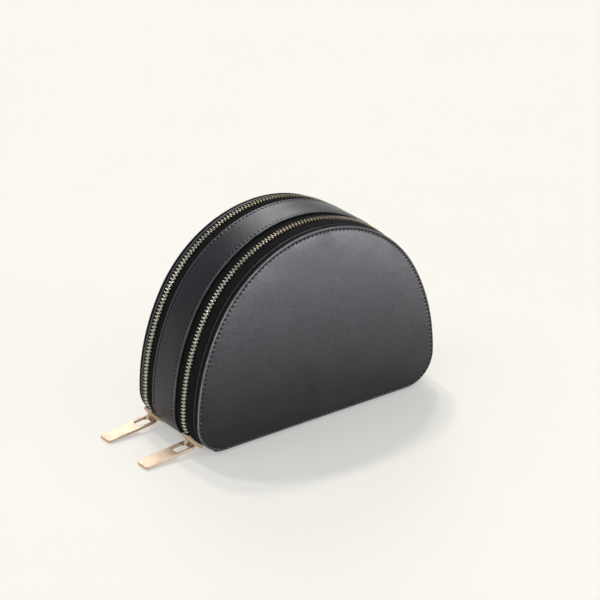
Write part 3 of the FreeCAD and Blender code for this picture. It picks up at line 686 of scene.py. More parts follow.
def lid_leather(name, face, inward, depth):
    """A closed leather shell, with edge paint on the faces between the bead and the lip."""

    def placed_edge(seam):
        """The edge's section at this lid's place, for one depth of the seam."""
        section = lid_edge(depth, seam)
        return np.stack([section[:, 0] + LID_INSET, face + inward * section[:, 1]], -1)

    rim = sewn(placed_edge, LID_DEEP, LID_SHALLOW, seam_walk(LID_INSET + STITCH_LINE))
    steps = len(rim)
    # The lips' paler tone: partly wear, partly painted highlight, strongest on the left.
    wear_and_highlight = np.concatenate([np.zeros((steps, RINGS)), lid_wear_and_highlight(rim, depth)], axis=1)
    skin = make_piece(
        f"{name}_lid_skin", [lid_shell(face, inward, rim)], leather, f"{name}_lid",
        stands_for=[f"{name}_lid_leather"], wear_and_painted_light=np.append(wear_and_highlight, [0, 0]),
    )
    line = np.abs(lid_edge(depth, 0.0))
    down = (line[1:, 1] + line[:-1, 1]) / 2
    painted = (down > BEAD) & (down < depth - LIP) & (line[1:, 0] < PAINT_IN)
    column = np.concatenate([np.zeros(RINGS), painted])
    paint = np.concatenate([np.tile(column, steps), np.zeros(2 * steps)])
    skin.data.materials.append(edge_paint)
    skin.data.polygons.foreach_set("material_index", paint.astype(np.int32))


lid_leather("front", FRONT_FACE, 1, FRONT_PANEL)
lid_leather("rear", REAR_FACE, -1, REAR_PANEL)

# %% [markdown]
# ## Stitches
# Nearly seven hundred stitches hold the edges, all alike, so one is worked out and the rest are copies
# set along the outline. A stitch is a short plump strand that dives into the leather at both
# ends and leans a little, because each new stitch leaves its hole on the other side of the last one.
# They sit where the seams were pulled down. An array modifier on a curve could place them too, but it
# would not keep them exactly over the puckers.

# %% Copies along the outline
def set_along(shape, distance, inset, depth):
    """Copies of a small shape, given as columns (along, inwards, depth), one at each distance."""
    point, normal = outline(distance)
    tangent = np.stack([-normal[:, 1], normal[:, 0]], -1)
    along, inwards, deep = shape.reshape(-1, 3).T
    flat = point[:, None] + tangent[:, None] * along[None, :, None]
    flat = flat - normal[:, None] * (inset + inwards)[None, :, None]
    deep = np.broadcast_to(depth + deep, flat.shape[:2])
    return np.stack([flat[..., 0], deep, flat[..., 1]], -1)


# %% Stitches
STITCH_HALF, STITCH_WIDE, STITCH_HIGH = 0.86, 0.5, 0.28
SLANT, STAND, DIVE = 0.12, 0.10, 0.42
LID_SINK, BAND_SINK = 0.46, 0.42


def stitch_shape():
    """Six sections of six points: thickness as sqrt(1 - s^4) of the place s along the half-length,
    sinking by s^2 at the ends, with a slight slant."""
    place = np.array([-1, -0.86, -0.4, 0.4, 0.86, 1])[:, None]
    turn = np.linspace(0, 2 * np.pi, 6, endpoint=False)[None, :]
    thick = np.sqrt(np.maximum(1 - place**4, 0.03))
    along = STITCH_HALF * place + 0 * turn
    across = STITCH_WIDE * thick * np.cos(turn) + SLANT * place
    up = STITCH_HIGH * thick * np.sin(turn) + STAND - DIVE * place**2
    return np.stack([along, across, up], -1)


stitch = stitch_shape()


def sew(name, body, inset, depth, across, up, counted):
    """One closed row of stitches, counted along an inset line. Across and up say which way a stitch's
    width and height point at that seam, as (inwards, depth)."""
    along, wide, high = np.moveaxis(stitch, -1, 0)
    shape = np.stack([along, *(wide * across[k] + high * up[k] for k in (0, 1))], -1)
    copies = set_along(shape, even_places(counted, pitch=STITCH_PITCH), inset, depth)
    make_piece(name, [repeat_shell(copies, tube(stitch)[1])], thread, body)


lid_line = LID_INSET + STITCH_LINE
sew("front_lid_stitches", "front_lid", lid_line, FRONT_FACE + LID_SINK, (1, 0), (0, -1), lid_line)
sew("rear_lid_stitches", "rear_lid", lid_line, REAR_FACE - LID_SINK, (1, 0), (0, 1), lid_line)
sew("band_front_stitches", "case", BAND_SINK, BAND_FRONT + SEAM, (0, 1), (-1, 0), SEAM_LEVEL)
sew("band_rear_stitches", "case", BAND_SINK, BAND_REAR - SEAM, (0, -1), (-1, 0), SEAM_LEVEL)

# %% [markdown]
# ## The zips
# A zip is two woven tapes, each with a row of metal teeth squeezed onto a corded edge. The tapes lie
# just under the leather on both sides. A tape is a flat strip with a small round cord along one edge,
# carried over the arch only: at the base the lids hang on leather hinges and there is no zip. Each
# point keeps its distance along and across in the UV map, so the twill bends with the tape.

# %% Zip tapes
FRONT_ZIP, REAR_ZIP = -16.0, 21.6
TAPE_OUT, TAPE_IN = 1.5, 2.2
CORD, CORD_SWELL = 0.8, 0.25
UNDERLAP, SEAT, END_SEAT = 4.2, 0.1, 0.4
END_GAP = 0.6


def corner_place(angle_below, left):
    """The distance along the outline of a point on a lower corner, by its angle below the level."""
    run = CORNER * np.radians(angle_below)
    return ARC_ENDS[3] + run if left else ARC_ENDS[0] - run


CHAIN_LEFT, CHAIN_RIGHT = corner_place(26.5, True), corner_place(56.0, False)
TAPE_LEFT, TAPE_RIGHT = corner_place(73.6, True), corner_place(73.6, False)


def tape_shell(edge, cord, first, last, steps):
    """A strip from its plain edge to its corded edge: a flat section whose last 1.5 mm swells."""
    run = np.sign(cord - edge)
    foot, middle = cord - run * 1.5, cord - run * 0.7
    line = [
        (TAPE_OUT, edge), (TAPE_OUT, foot), (TAPE_OUT - CORD_SWELL, middle), (TAPE_OUT - 0.2, cord),
        (TAPE_IN + 0.2, cord), (TAPE_IN + CORD_SWELL, middle), (TAPE_IN, foot), (TAPE_IN, edge),
    ]
    section = rounded(line, 0.3, steps=3)
    distance = np.linspace(first, last, steps)
    walk = np.stack(np.broadcast_arrays(distance[:, None], section[None, :, 1]), -1)
    return tube(carry(section, distance)), walk.reshape(-1, 2)


def zip_tape(name, body, node, edge, cord, spans):
    """One tape, or its two sewn-down ends, from one or more spans of the outline."""
    made = [tape_shell(edge, cord, *span) for span in spans]
    shells, walks = zip(*made)
    make_piece(
        name, shells, tape_cloth, body, stands_for=[node], walk=np.concatenate(walks)
    )


whole, chain = [(TAPE_RIGHT, TAPE_LEFT, 320)], [(CHAIN_RIGHT, CHAIN_LEFT, 300)]
ends = [(TAPE_RIGHT, CHAIN_RIGHT - END_GAP, 12), (CHAIN_LEFT + END_GAP, TAPE_LEFT, 24)]
for side, zip_plane, band_edge, lid_edge_depth, out in (
    ("front", FRONT_ZIP, BAND_FRONT, FRONT_FACE + FRONT_PANEL, -1),
    ("rear", REAR_ZIP, BAND_REAR, REAR_FACE - REAR_PANEL, 1),
):
    case_cord, lid_cord = zip_plane - out * CORD, zip_plane + out * CORD
    for name, body, node, edge, cord, spans in (
        ("body_tape_twill", "case", "body_tape", band_edge - out * UNDERLAP, case_cord, whole),
        ("lid_tape_twill", f"{side}_lid", "lid_tape", lid_edge_depth - out * SEAT, lid_cord, chain),
        ("tape_end_twill", "case", "tape_ends", lid_edge_depth - out * END_SEAT, lid_cord, ends),
    ):
        zip_tape(f"{side}_{name}", body, f"{side}_{node}", edge, cord, spans)

# %% [markdown]
# ### Teeth
# Each tooth is a little brass casting: a body that grips the tape, a neck, and a rounded head that
# drops into the gap between two teeth of the other row. One tooth is seven eight-sided sections
# stacked across the tape, and the row repeats it every 2 mm, the other row half a step further on. On
# the left the teeth keep their bright plate; towards the top of the arch and beyond they get a darker
# tone, which is painted shade.

# %% Zip teeth
TOOTH_PITCH = 2.04
TOOTH_MIDDLE = 1.85
TOOTH_WIDTH = 0.95
TOOTH_CUT, TOOTH_CREASE = 0.09, 40
SHADE_FADE = 0.3
# For each section: distance from the zip's middle, half length along the chain, half height
TOOTH_SECTIONS = np.array([
    (1.98, 0.16, 1.0), (1.84, 0.26, 1.3), (1.2, 0.28, 1.4), (0.6, 0.23, 1.34),
    (0.0, 0.26, 1.26), (-0.45, 0.23, 1.12), (-0.66, 0.13, 0.75),
])


def tooth_shape(out):
    """Stacked sections: each is a rectangle of (half length, half height) with its corners cut off
    at 45 degrees, so the ring's points are the corners moved by the cut along one side or the other."""
    corner = np.array([(1, 1), (1, 1), (-1, 1), (-1, 1), (-1, -1), (-1, -1), (1, -1), (1, -1)])
    moved = np.array([(0, 1), (1, 0), (1, 0), (0, 1), (0, 1), (1, 0), (1, 0), (0, 1)])
    far, half = TOOTH_SECTIONS[:, 0], TOOTH_SECTIONS[:, None, 1:]
    ring = corner * (half - TOOTH_CUT * moved)
    return np.concatenate([ring, np.broadcast_to(out * far[:, None, None], (*ring.shape[:2], 1))], -1)


def tooth_row(name, body, node, zip_plane, out, shift):
    """A row from the chain's left end, where the slider parks, to its right end. A tooth on the left
    is kept out of the painted shade by (1 - the upward part of the outline's normal) / 0.3, and one on
    the right gets the full painted shade."""
    start = TOOTH_WIDTH / 2 + shift * TOOTH_PITCH
    middle_line = carry([(TOOTH_MIDDLE, 0)], np.linspace(CHAIN_RIGHT, CHAIN_LEFT, FINE_STEPS))[:, 0]
    chain_length = np.linalg.norm(np.diff(middle_line, axis=0), axis=1).sum()
    count = int((chain_length - start - TOOTH_WIDTH / 2) / TOOTH_PITCH) + 1
    places = even_places(TOOTH_MIDDLE, CHAIN_LEFT, CHAIN_RIGHT, TOOTH_PITCH, count, start)
    shape = tooth_shape(out)
    copies = set_along(shape, places, TOOTH_MIDDLE, zip_plane)
    facing_up = outline(places)[1][:, 1]
    # Painted shade: teeth that face up, and every tooth on the right, get the darker tone.
    unshaded = np.clip((1 - facing_up) / SHADE_FADE, 0, 1) * (copies[:, 0, 0] < 0)
    make_piece(
        name, [repeat_shell(copies, tube(shape)[1])], zip_metal, body, stands_for=[node],
        wear_and_painted_light=np.repeat(unshaded, copies.shape[1]), crease=TOOTH_CREASE,
    )


for side, zip_plane, out in (("front", FRONT_ZIP, -1), ("rear", REAR_ZIP, 1)):
    tooth_row(f"{side}_body_tooth_row", "case", f"{side}_body_teeth", zip_plane, -out, 0.0)
    tooth_row(f"{side}_lid_tooth_row", f"{side}_lid", f"{side}_lid_teeth", zip_plane, out, 0.5)

# %% [markdown]
# ### Sliders
# Both sliders are parked low on the left corner, so their plates are bent to it. Everything on a
# slider is simplest in polar form about the corner's centre: an angle below the level, a radius, and a
# distance from the zip's middle. The outer plate is a C-shaped section, domed on top with a flange
# turned down along each side, swept through the slider's angle. Its width swells towards the nose,
# where the two rows of teeth enter, and the first and last sections shrink a little to round the ends.


# %% Sweeping about the corner
END_TURN = np.radians(1.1)
LEAST_HALF = 0.3


def about_corner(angle, radius, depth):
    """Polar to straight coordinates: corner centre minus radius x (cos, sin) of the angle below level."""
    x = -flat_half - radius * np.cos(angle)
    z = CORNER - radius * np.sin(angle)
    return np.stack(np.broadcast_arrays(x, depth, z), -1)


def swept(section, angles, ends=0.25, waist=None):
    """Carry a section of (depth, radius) through angles. At the ends it shrinks about its middle by
    a small margin; waist scales its depth along the way."""
    section = np.asarray(section, float)
    middle = (section.min(0) + section.max(0)) / 2
    margin = (section.max(0) - section.min(0)) / 2
    turn = np.linspace(*angles, 15)
    start, finish = turn[0] + END_TURN * np.array([0, 0.3, 1]), turn[-1] - END_TURN * np.array([1, 0.3, 0])
    turn = np.concatenate([start, turn[1:-1], finish])
    shrink = np.zeros(len(turn))
    shrink[[0, -1]], shrink[[1, -2]] = ends, ends * 0.3
    scale = 1 - shrink[:, None, None] / np.maximum(margin, LEAST_HALF)
    points = middle + (section - middle) * scale
    if waist is not None:
        points[..., 0] *= waist(np.linspace(0, 1, len(turn)))[:, None]
    return tube(about_corner(turn[:, None], points[..., 1], points[..., 0]))


# %% Slider bodies
SLIDER_ANGLES = np.radians([27.15, 63.85])
PLATE_LOW, PLATE_EDGE, PLATE_HIGH, FLANGE_LOW = 20.15, 21.5, 21.75, 19.0
PLATE_HALF, PLATE_FLAT, FLANGE_IN = 3.6, 1.4, 2.4
UNDER_LOW, UNDER_HIGH, UNDER_HALF = 15.45, 16.75, 2.1
POST_LENGTH, POST_HALF, POST_ROOT = 2.0, 1.2, 0.3

plate_section = rounded(
    [
        (-PLATE_HALF, PLATE_EDGE), (-PLATE_FLAT, PLATE_HIGH),
        (PLATE_FLAT, PLATE_HIGH), (PLATE_HALF, PLATE_EDGE),
        (PLATE_HALF, FLANGE_LOW), (FLANGE_IN, FLANGE_LOW), (FLANGE_IN, PLATE_LOW),
        (-FLANGE_IN, PLATE_LOW), (-FLANGE_IN, FLANGE_LOW), (-PLATE_HALF, FLANGE_LOW),
    ],
    [0.6, 1.2, 1.2, 0.6, 0.35, 0.3, 0.2, 0.2, 0.3, 0.35],
)
under_section = rounded(box(-UNDER_HALF, UNDER_HALF, UNDER_LOW, UNDER_HIGH), 0.4)
post_section = rounded(box(-POST_HALF, POST_HALF, UNDER_HIGH - POST_ROOT, PLATE_LOW + POST_ROOT), 0.4)
post_angles = (SLIDER_ANGLES[1] - POST_LENGTH / CORNER, SLIDER_ANGLES[1])


def nose_swell(t):
    """The plate's width along the slider: 0.86 + 0.14 x sin(pi x (0.12 + 0.62 t))."""
    return 0.86 + 0.14 * np.sin(np.pi * (0.12 + 0.62 * t))


slider_shells = [
    swept(plate_section, SLIDER_ANGLES, waist=nose_swell),
    swept(under_section, SLIDER_ANGLES),
    swept(post_section, post_angles, ends=0.1),
]

# %% [markdown]
# ### Crowns and pulls
# A crown is the small bridge on the slider's back that the pull hangs from. It is a strap of constant
# section carried along a path: up one leg, over the top, down the other. The pull is a stamped plate
# with an eye at its head. Its edge is worked out as rings: the outline and the eye's outline are drawn
# with the same number of points, and rings between them step over a rounded edge on both sides. The
# photograph's pulls carry engraved words; here they are left plain and only brushed.

# %% Slider crowns
CROWN_ANGLES = np.radians([36.3, 54.7])
CROWN_FOOT, CROWN_MIDDLE, CROWN_TOP = 21.3, 23, 24.1
CROWN_WIDE, CROWN_THICK = 2.2, 0.8


def crown_shell():
    """A strap along a bridge path, drawn flat as (run at the middle radius, radius): up one leg, over
    the top and down the other. Its run divided by that radius is the angle about the corner."""
    middle = CROWN_ANGLES.mean()
    leg = (CROWN_ANGLES[1] - middle) * CROWN_MIDDLE - CROWN_THICK / 2
    legs = [(-leg, CROWN_FOOT), (-leg, CROWN_TOP), (leg, CROWN_TOP), (leg, CROWN_FOOT)]
    wide, thick = CROWN_WIDE / 2, CROWN_THICK / 2
    section = rounded(box(-wide, wide, -thick, thick), 0.3, steps=3)
    place = along_path(rounded(legs, 1.3, steps=8, closed=False), section)
    return tube(about_corner(middle + place[..., 0] / CROWN_MIDDLE, place[..., 1], section[None, :, 0]))


# %% Pull tabs
PIVOT = np.array([-78.928, 4.091])
TAB_LENGTH, TAB_HALF, TAB_THICK = 31.5, 5.0, 1.6
TAB_EASE = 0.45
EYE_END, EYE_HALF, EYE_HEAD = -10.15, 3.1, 0.75
FLOOR_GAP = 0.2
TILT = np.arcsin((PIVOT[1] - TAB_THICK / 2 - FLOOR_GAP) / TAB_LENGTH)


def even_loop(corners, radius, count=96):
    """A rounded polygon resampled to a fixed number of points, equally far apart."""
    loop = rounded(corners, radius, steps=10)
    loop = np.concatenate([loop, loop[:1]])
    step = np.linalg.norm(np.diff(loop, axis=0), axis=1)
    length = np.concatenate([[0], np.cumsum(step)])
    wanted = np.linspace(0, length[-1], count, endpoint=False)
    return np.stack([np.interp(wanted, length, loop[:, axis]) for axis in (0, 1)], -1)


def inner_side(loop):
    """Unit normals to the left of a loop's direction."""
    run = np.roll(loop, -1, 0) - np.roll(loop, 1, 0)
    run /= np.linalg.norm(run, axis=1)[:, None]
    return np.stack([-run[:, 1], run[:, 0]], -1)


def tab_shell():
    """Rings over a plate with an eye: at angle a over the edge, the ring is the outline moved in by
    r(1 - sin a) at height h/2 - r(1 - cos a); the eye's edge is the same, moved outwards."""
    half = [(EYE_HEAD, TAB_HALF - 0.5), (-4, TAB_HALF), (-TAB_LENGTH, TAB_HALF)]
    mirrored = [(x, -y) for x, y in half[::-1]]
    outer = even_loop(mirrored[-1:] + half + mirrored[:-1], [1.8, 1.8, 6, 2.3, 2.3, 6])
    eye = even_loop(
        [(-EYE_HEAD, -EYE_HALF), (-EYE_HEAD, EYE_HALF), (EYE_END, EYE_HALF), (EYE_END, -EYE_HALF)],
        [0.9, 0.9, 1.2, 1.2],
    )
    arc = np.linspace(0, QUARTER, 4)
    inset, drop = TAB_EASE * (1 - np.sin(arc)), TAB_EASE * (1 - np.cos(arc))
    height = np.concatenate([TAB_THICK / 2 - drop, drop[::-1] - TAB_THICK / 2])
    inset = np.concatenate([inset, inset[::-1]])

    def rings(loop, side):
        """An outline moved in or out over the rounded edge, each ring at its height."""
        flat = loop[None] + inner_side(loop)[None] * (side * inset)[:, None, None]
        return np.concatenate([flat, np.broadcast_to(height[:, None, None], (*flat.shape[:2], 1))], -1)

    grid = np.concatenate([rings(outer, 1), rings(eye, -1)[::-1]])
    x, across, up = grid[..., 0], grid[..., 1], grid[..., 2]
    level = PIVOT[0] + x * np.cos(TILT) - up * np.sin(TILT)
    lifted = PIVOT[1] + x * np.sin(TILT) + up * np.cos(TILT)
    return hoop(np.stack([level, across, lifted], -1))


# %% Sliders and pulls on both zips
crown, tab = crown_shell(), tab_shell()
for side, zip_plane in (("front", FRONT_ZIP), ("rear", REAR_ZIP)):
    for name, body, node, shells, finish in (
        ("slider_plates", "slider", "slider_body", slider_shells, gold_plate),
        ("slider_bridge", "slider", "slider_crown", [crown], gold_plate),
        ("pull", "pull", "pull_tab", [tab], satin_gold),
    ):
        placed = [(points + (0, zip_plane, 0), faces) for points, faces in shells]
        make_piece(
            f"{side}_{name}", placed, finish, f"{side}_{body}",
            stands_for=[f"{side}_{node}"],
        )

# %% [markdown]
# ## Under the case and past the chain
# Where the zips leave off, each lid hangs on a strip of leather under the base. The strip is part of
# neither the case nor the lid, and it is tied to neither.
#
# A small metal clip past the chain's right end keeps the slider on. It grips both tapes, so its section
# is an H lying on its side, carried a short way along the zip.

# %% Leather hinges
HINGE, HINGE_CLEAR, HINGE_ROUND = 1.3, 0.03, 0.5
HINGE_REACH = 72.4


def hinge(side, near, far):
    """A strip carried along the base and a little way up both corners: its outer line lies just inside
    the outline and its inner line at the leather's thickness, both pinched at the ends by a quarter
    circle's rise. It runs straight between two depths, near and far."""
    depth = np.linspace(near, far, 40)
    end = np.minimum(np.abs(depth - near), np.abs(depth - far))
    from_middle = HINGE_ROUND - np.minimum(end, HINGE_ROUND)
    pinch = HINGE_ROUND - np.sqrt(np.maximum(HINGE_ROUND**2 - from_middle**2, 0))
    outer, inner = np.stack([HINGE_CLEAR + pinch, depth], -1), np.stack([HINGE - pinch, depth], -1)
    section = np.concatenate([outer, inner[::-1]])
    run = np.linspace(corner_place(HINGE_REACH, True), LOOP + corner_place(HINGE_REACH, False), 96)
    strip = make_piece(f"{side}_hinge_leather", [tube(carry(section, run))], leather, None,
                       stands_for=[f"{side}_hinge_strip"])
    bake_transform(strip)


hinge("front", BAND_FRONT - 0.1, -26.9)
hinge("rear", BAND_REAR + 0.1, 28.2)

# %% Zip stops
STOP_LENGTH, STOP_GAP = 2.6, 0.6


def zip_stop(side, zip_plane):
    """An H section of (depth, inset) in five places along the clip; the outer ones are a little
    smaller, which rounds the clip's ends."""
    half = np.array([(2.1, -1.45), (2.1, -0.45), (1.15, -0.45), (1.15, 0.45), (2.1, 0.45), (2.1, 1.45)])
    soft = [0.5, 0.2, 0.2, 0.2, 0.2, 0.5]
    section = rounded(np.concatenate([half, half[::-1] * (-1, 1)]), soft * 2, steps=3)
    along = STOP_LENGTH / 2 * np.array([-1, -0.85, 0, 0.85, 1])[:, None]
    scale = np.array([0.86, 1, 1, 1, 0.86])[:, None]
    shape = np.stack(np.broadcast_arrays(along, scale * section[:, 1], scale * section[:, 0]), -1)
    past = (STOP_GAP + STOP_LENGTH / 2) * CORNER / (CORNER - TOOTH_MIDDLE)
    placed = set_along(shape, np.array([CHAIN_RIGHT - past]), TOOTH_MIDDLE, zip_plane)
    # With no attribute on it, the clip takes the zip metal's painted-shade tone all over.
    make_piece(f"{side}_zip_clip", [tube(placed.reshape(shape.shape))], zip_metal, "case",
               stands_for=[f"{side}_zip_stop"])


zip_stop("front", FRONT_ZIP)
zip_stop("rear", REAR_ZIP)

# %% [markdown]
# ## Inside
# The photograph shows the case closed, so the inside is what such a case usually has: a napped cloth
# over every board, three padded rolls for rings in front, a rail with hooks and a gathered pouch for
# chains at the back, and a flat pocket in the front lid.
#
# The hoop's board is wrapped in cloth that turns over both edges, so one soft-cornered ring stands for
# the board and its lining. The divider and the lid linings are plates of the half-moon's shape; they
# close over the middle with shrinking rings, as the lids' faces do.


# %% Cloth-covered plates
def plate_shell(rim):
    """Close a rim of (steps x points) over both faces: rings are middle + f x (first or last line of
    the rim - middle)."""
    share = np.linspace(0.1, 1, 9, endpoint=False)[:, None, None]
    sides = []
    for line in (rim[:, 0], rim[:, -1]):
        middle = np.array([0.0, line[0, 1], FACE_LEVEL])
        sides.append(((middle + share * (line - middle)).transpose(1, 0, 2), middle))
    (front, front_middle), (back, back_middle) = sides
    return closed_sheet(np.concatenate([front, rim, back[:, ::-1]], axis=1), front_middle, back_middle)


def covered_plate(name, body, node, inset, front, rear, soft):
    """A plate of the half-moon's shape, set in by an inset, with its edge rounded by soft."""
    line = [(FACE_START, front), (inset, front), (inset, rear), (FACE_START, rear)]
    section = rounded(line, [0, soft, soft, 0], closed=False)
    return make_piece(
        name, [plate_shell(carry(section, round_trip))], lining_cloth, body,
        stands_for=[node],
    )


def flat_area(inset):
    """Area inside the half-moon at an inset, in square metres: half the sum of x dz - z dx."""
    edge = carry([(inset, 0)], round_trip)[:, 0, ::2] * MM
    after = np.roll(edge, -1, 0)
    return abs((edge[:, 0] * after[:, 1] - edge[:, 1] * after[:, 0]).sum()) / 2


# %% Hoop, divider and lid linings
HOOP_OUT, HOOP_IN, HOOP_PAST = 2.35, 5.2, 0.25
LINING_INSET = 2.95

hoop_section = rounded(box(HOOP_OUT, HOOP_IN, BAND_FRONT - HOOP_PAST, BAND_REAR + HOOP_PAST), 0.7)
make_piece("body_hoop_cloth", [hoop(carry(hoop_section, round_trip))], lining_cloth, "case",
           stands_for=["body_lining", "body_frame"])
covered_plate("divider_cloth", "case", "divider_panel", inset=5.3, front=1.9, rear=3.7, soft=0.7)
for side, front, rear in (("front", -25.55, -24.75), ("rear", 26.2, 27.0)):
    cloth = covered_plate(
        f"{side}_lid_cloth", f"{side}_lid", f"{side}_lid_lining", LINING_INSET, front, rear, soft=0.35
    )
    flat_area(LINING_INSET)
    bpy.data.objects[f"{side}_lid_board"].material_slots[0].material = board

# %% [markdown]
# ### Ring rolls
# A ring roll is a cloth tube stuffed with foam. A plain cylinder would look turned on a lathe, so the
# tube is drawn with slow waists and drawn-in ends, remeshed into small even faces and scaled to the
# roll's size. A cloth simulation runs on it for twenty frames, with a little pressure and no gravity,
# held along the back, where the roll is sewn to the divider. At this small size the pressure is too weak
# to show: the cloth moves less than a hundredth of a millimetre, so the form is the drawn one. One roll
# is worked out and the three are copies of it, and each gets the cord that finishes the seam round its
# two ends.

# %% One ring roll
ROLL_RADIUS, ROLL_LENGTH, ROLL_BACK = 7.5, 104.0, 1.7
THIN_RADIUS, WAIST = 6.9, 0.35
SEWN_FROM, CLOTH_FACE, CLOTH_FRAMES, MOST_MOVE = 5.6, 2.0, 20, 1.5


def thin_roll(rows=61, columns=40):
    """A tube along x, a little thin, drawn in at both ends by half an ellipse, with a slow waist between
    the places where the filling is stitched through."""
    x = np.linspace(-1, 1, rows)
    end = np.sqrt(np.maximum(1 - np.maximum(np.abs(x) - 0.965, 0) ** 2 / 0.035**2 * 0.4, 0))
    radius = (THIN_RADIUS - WAIST * np.cos(3 * np.pi * x) ** 8) * end
    turn = np.linspace(0, 2 * np.pi, columns, endpoint=False)
    across = np.broadcast_to(x[:, None] * (ROLL_LENGTH / 2 - 0.6), (rows, columns))
    return tube(np.stack([across, radius[:, None] * np.cos(turn), radius[:, None] * np.sin(turn)], -1))


def as_modified(thing):
    """A new mesh of what an object's modifiers make of it."""
    return bpy.data.meshes.new_from_object(thing.evaluated_get(bpy.context.evaluated_depsgraph_get()))


def points_of(mesh):
    """A mesh's points as an array."""
    flat = np.empty(len(mesh.vertices) * 3)
    mesh.vertices.foreach_get("co", flat)
    return flat.reshape(-1, 3)


def blow_up(points, faces, most):
    """Remesh a shape into small cloth faces, run the cloth, and give back the result with each point
    moved no further than most."""
    mesh = bpy.data.meshes.new("cloth_start")
    mesh.from_pydata(points * MM, [], faces)
    work = put_in_scene("cloth_start", mesh)
    remesh = work.modifiers.new("even_faces", "REMESH")
    remesh.mode, remesh.voxel_size = "VOXEL", CLOTH_FACE * MM
    even = as_modified(work)
    work.modifiers.clear()
    work.data = even
    start = points_of(even)
    held = work.vertex_groups.new(name="sewn")
    held.add(np.flatnonzero(start[:, 1] > SEWN_FROM * MM).tolist(), 1.0, "REPLACE")
    cloth = work.modifiers.new("cloth", "CLOTH").settings
    cloth.use_pressure, cloth.uniform_pressure_force = True, 4.0
    cloth.quality, cloth.mass, cloth.air_damping = 6, 0.3, 6.0
    cloth.tension_stiffness = cloth.compression_stiffness = 18.0
    cloth.vertex_group_mass, cloth.effector_weights.gravity = "sewn", 0.0
    for frame_number in range(1, CLOTH_FRAMES + 1):
        bpy.context.scene.frame_set(frame_number)
    puffed = as_modified(work)
    bpy.context.scene.frame_set(1)
    move = points_of(puffed) - start
    far = np.linalg.norm(move, axis=1, keepdims=True)
    move *= np.minimum(1, most * MM / np.maximum(far, 1e-9))
    loops = [list(face.vertices) for face in puffed.polygons]
    bpy.data.objects.remove(work)
    print(f"cloth: {len(loops)} faces moved {far.max() / MM:.4f} mm at most")
    return (start + move) / MM, loops


points, faces = thin_roll()
points, faces = blow_up(points, faces, MOST_MOVE)
# Keep the roll off its neighbours and the partitions
points *= np.array([ROLL_LENGTH / 2, ROLL_RADIUS, ROLL_RADIUS]) / np.abs(points).max(0)


# %% Ring rolls
ROLL_CORD, CORD_REACH, CORD_PLACE = 0.45, 6.95, 51.2


def end_cord(x):
    """A thin ring round the roll's end: a small circle carried round a larger one."""
    turn = np.linspace(0, 2 * np.pi, 48, endpoint=False)[:, None]
    small = np.linspace(0, 2 * np.pi, 8, endpoint=False)[None, :]
    reach = CORD_REACH + ROLL_CORD * np.cos(small)
    along = x + ROLL_CORD * np.sin(small) + 0 * turn
    return hoop(np.stack([along, reach * np.cos(turn), reach * np.sin(turn)], -1))


cords = [end_cord(-CORD_PLACE), end_cord(CORD_PLACE)]
for label, level in (("lower", 19.2), ("middle", 36.2), ("upper", 53.2)):
    place = np.array([0, ROLL_BACK - ROLL_RADIUS, level])
    roll = make_piece(f"{label}_roll_pad", [(points + place, faces)], roll_cloth, "case",
                      stands_for=[f"{label}_ring_roll"], crease=60)
    smooth = roll.modifiers.new("smooth", "SUBSURF")
    smooth.levels = smooth.render_levels = 1
    placed = [(ring + place, quads) for ring, quads in cords]
    make_piece(f"{label}_roll_cord", placed, roll_cloth, "case")

# %% [markdown]
# ### Partitions, pocket, rail and pouch
# The partitions are thin covered boards: a rounded rectangle stacked upwards. The pocket follows the
# half-moon's lower half, so its width at each height is looked up from the outline; its mouth is bound
# with a folded edge. The rail is a stamped metal bar with strap hooks, each strap carried along a path
# as the slider's crown is. The pouch is a cloth tube with a floor, gathered on elastic at its mouth, and
# the gathers are sine folds that die away downwards: simulation would only make them less even.

# %% Partitions
WALL_FRONT, WALL_REAR = -7.6, 1.8
WALL_HEIGHTS = np.array([5.3, 5.5, 6.0, 31, 56.6, 57.1, 57.3])
WALL_MARGINS = [0.5, 0.2, 0, 0, 0, 0.2, 0.5]


def covered_wall(name, node, left, right):
    """Rounded rectangles of (x, y) at seven heights, the outer ones drawn in to round top and foot."""
    flat = drawn_in(rounded(box(left, right, WALL_FRONT, WALL_REAR), 0.7), WALL_MARGINS)
    height = np.broadcast_to(WALL_HEIGHTS[:, None, None], (*flat.shape[:2], 1))
    make_piece(name, [tube(np.concatenate([flat, height], -1))], lining_cloth, "case",
               stands_for=[node])


covered_wall("left_wall_cloth", "left_partition", -53.8, -52.2)
covered_wall("right_wall_cloth", "right_partition", 52.2, 53.8)

# %% Pocket
POCKET_INSET, POCKET_TOP, POCKET_BACK = 7.0, 58.0, -24.65
POCKET_THICK, POCKET_PUFF, BINDING = 0.75, 0.35, 0.35


def pocket_shell():
    """Rows of height z and columns s from -1 to 1: x = s x half width at z. The face stands out by
    puff x (1 - s^2) x sin(pi t), and swells to a bound edge in its last two millimetres."""
    side = carry([(POCKET_INSET, 0)], np.linspace(0, ARC_ENDS[2] / 2, 3000))[:, 0]
    rise = 1 - np.cos(np.linspace(0.15, np.pi / 2, 14))
    t = np.concatenate([[0], rise, np.linspace(1.02, 1.05, 3)]) / 1.05
    foot = POCKET_INSET + 0.02
    z = foot + t * (POCKET_TOP - foot)
    half = np.interp(z, side[:, 2], side[:, 0])
    s = np.sin(np.linspace(-np.pi / 2, np.pi / 2, 61))
    x, height = half[:, None] * s, np.broadcast_to(z[:, None], (len(z), 61))
    bound = np.exp(-((POCKET_TOP - 1.1 - height) / 0.9) ** 2)
    puff = POCKET_PUFF * (1 - s**2) * np.sin(np.pi * t)[:, None] + BINDING * bound
    outer = np.stack([x, POCKET_BACK + POCKET_THICK + puff, height], -1)
    inner = np.stack([x, POCKET_BACK + 0 * puff, height], -1)[:, ::-1]
    return tube(np.concatenate([outer, inner], axis=1))


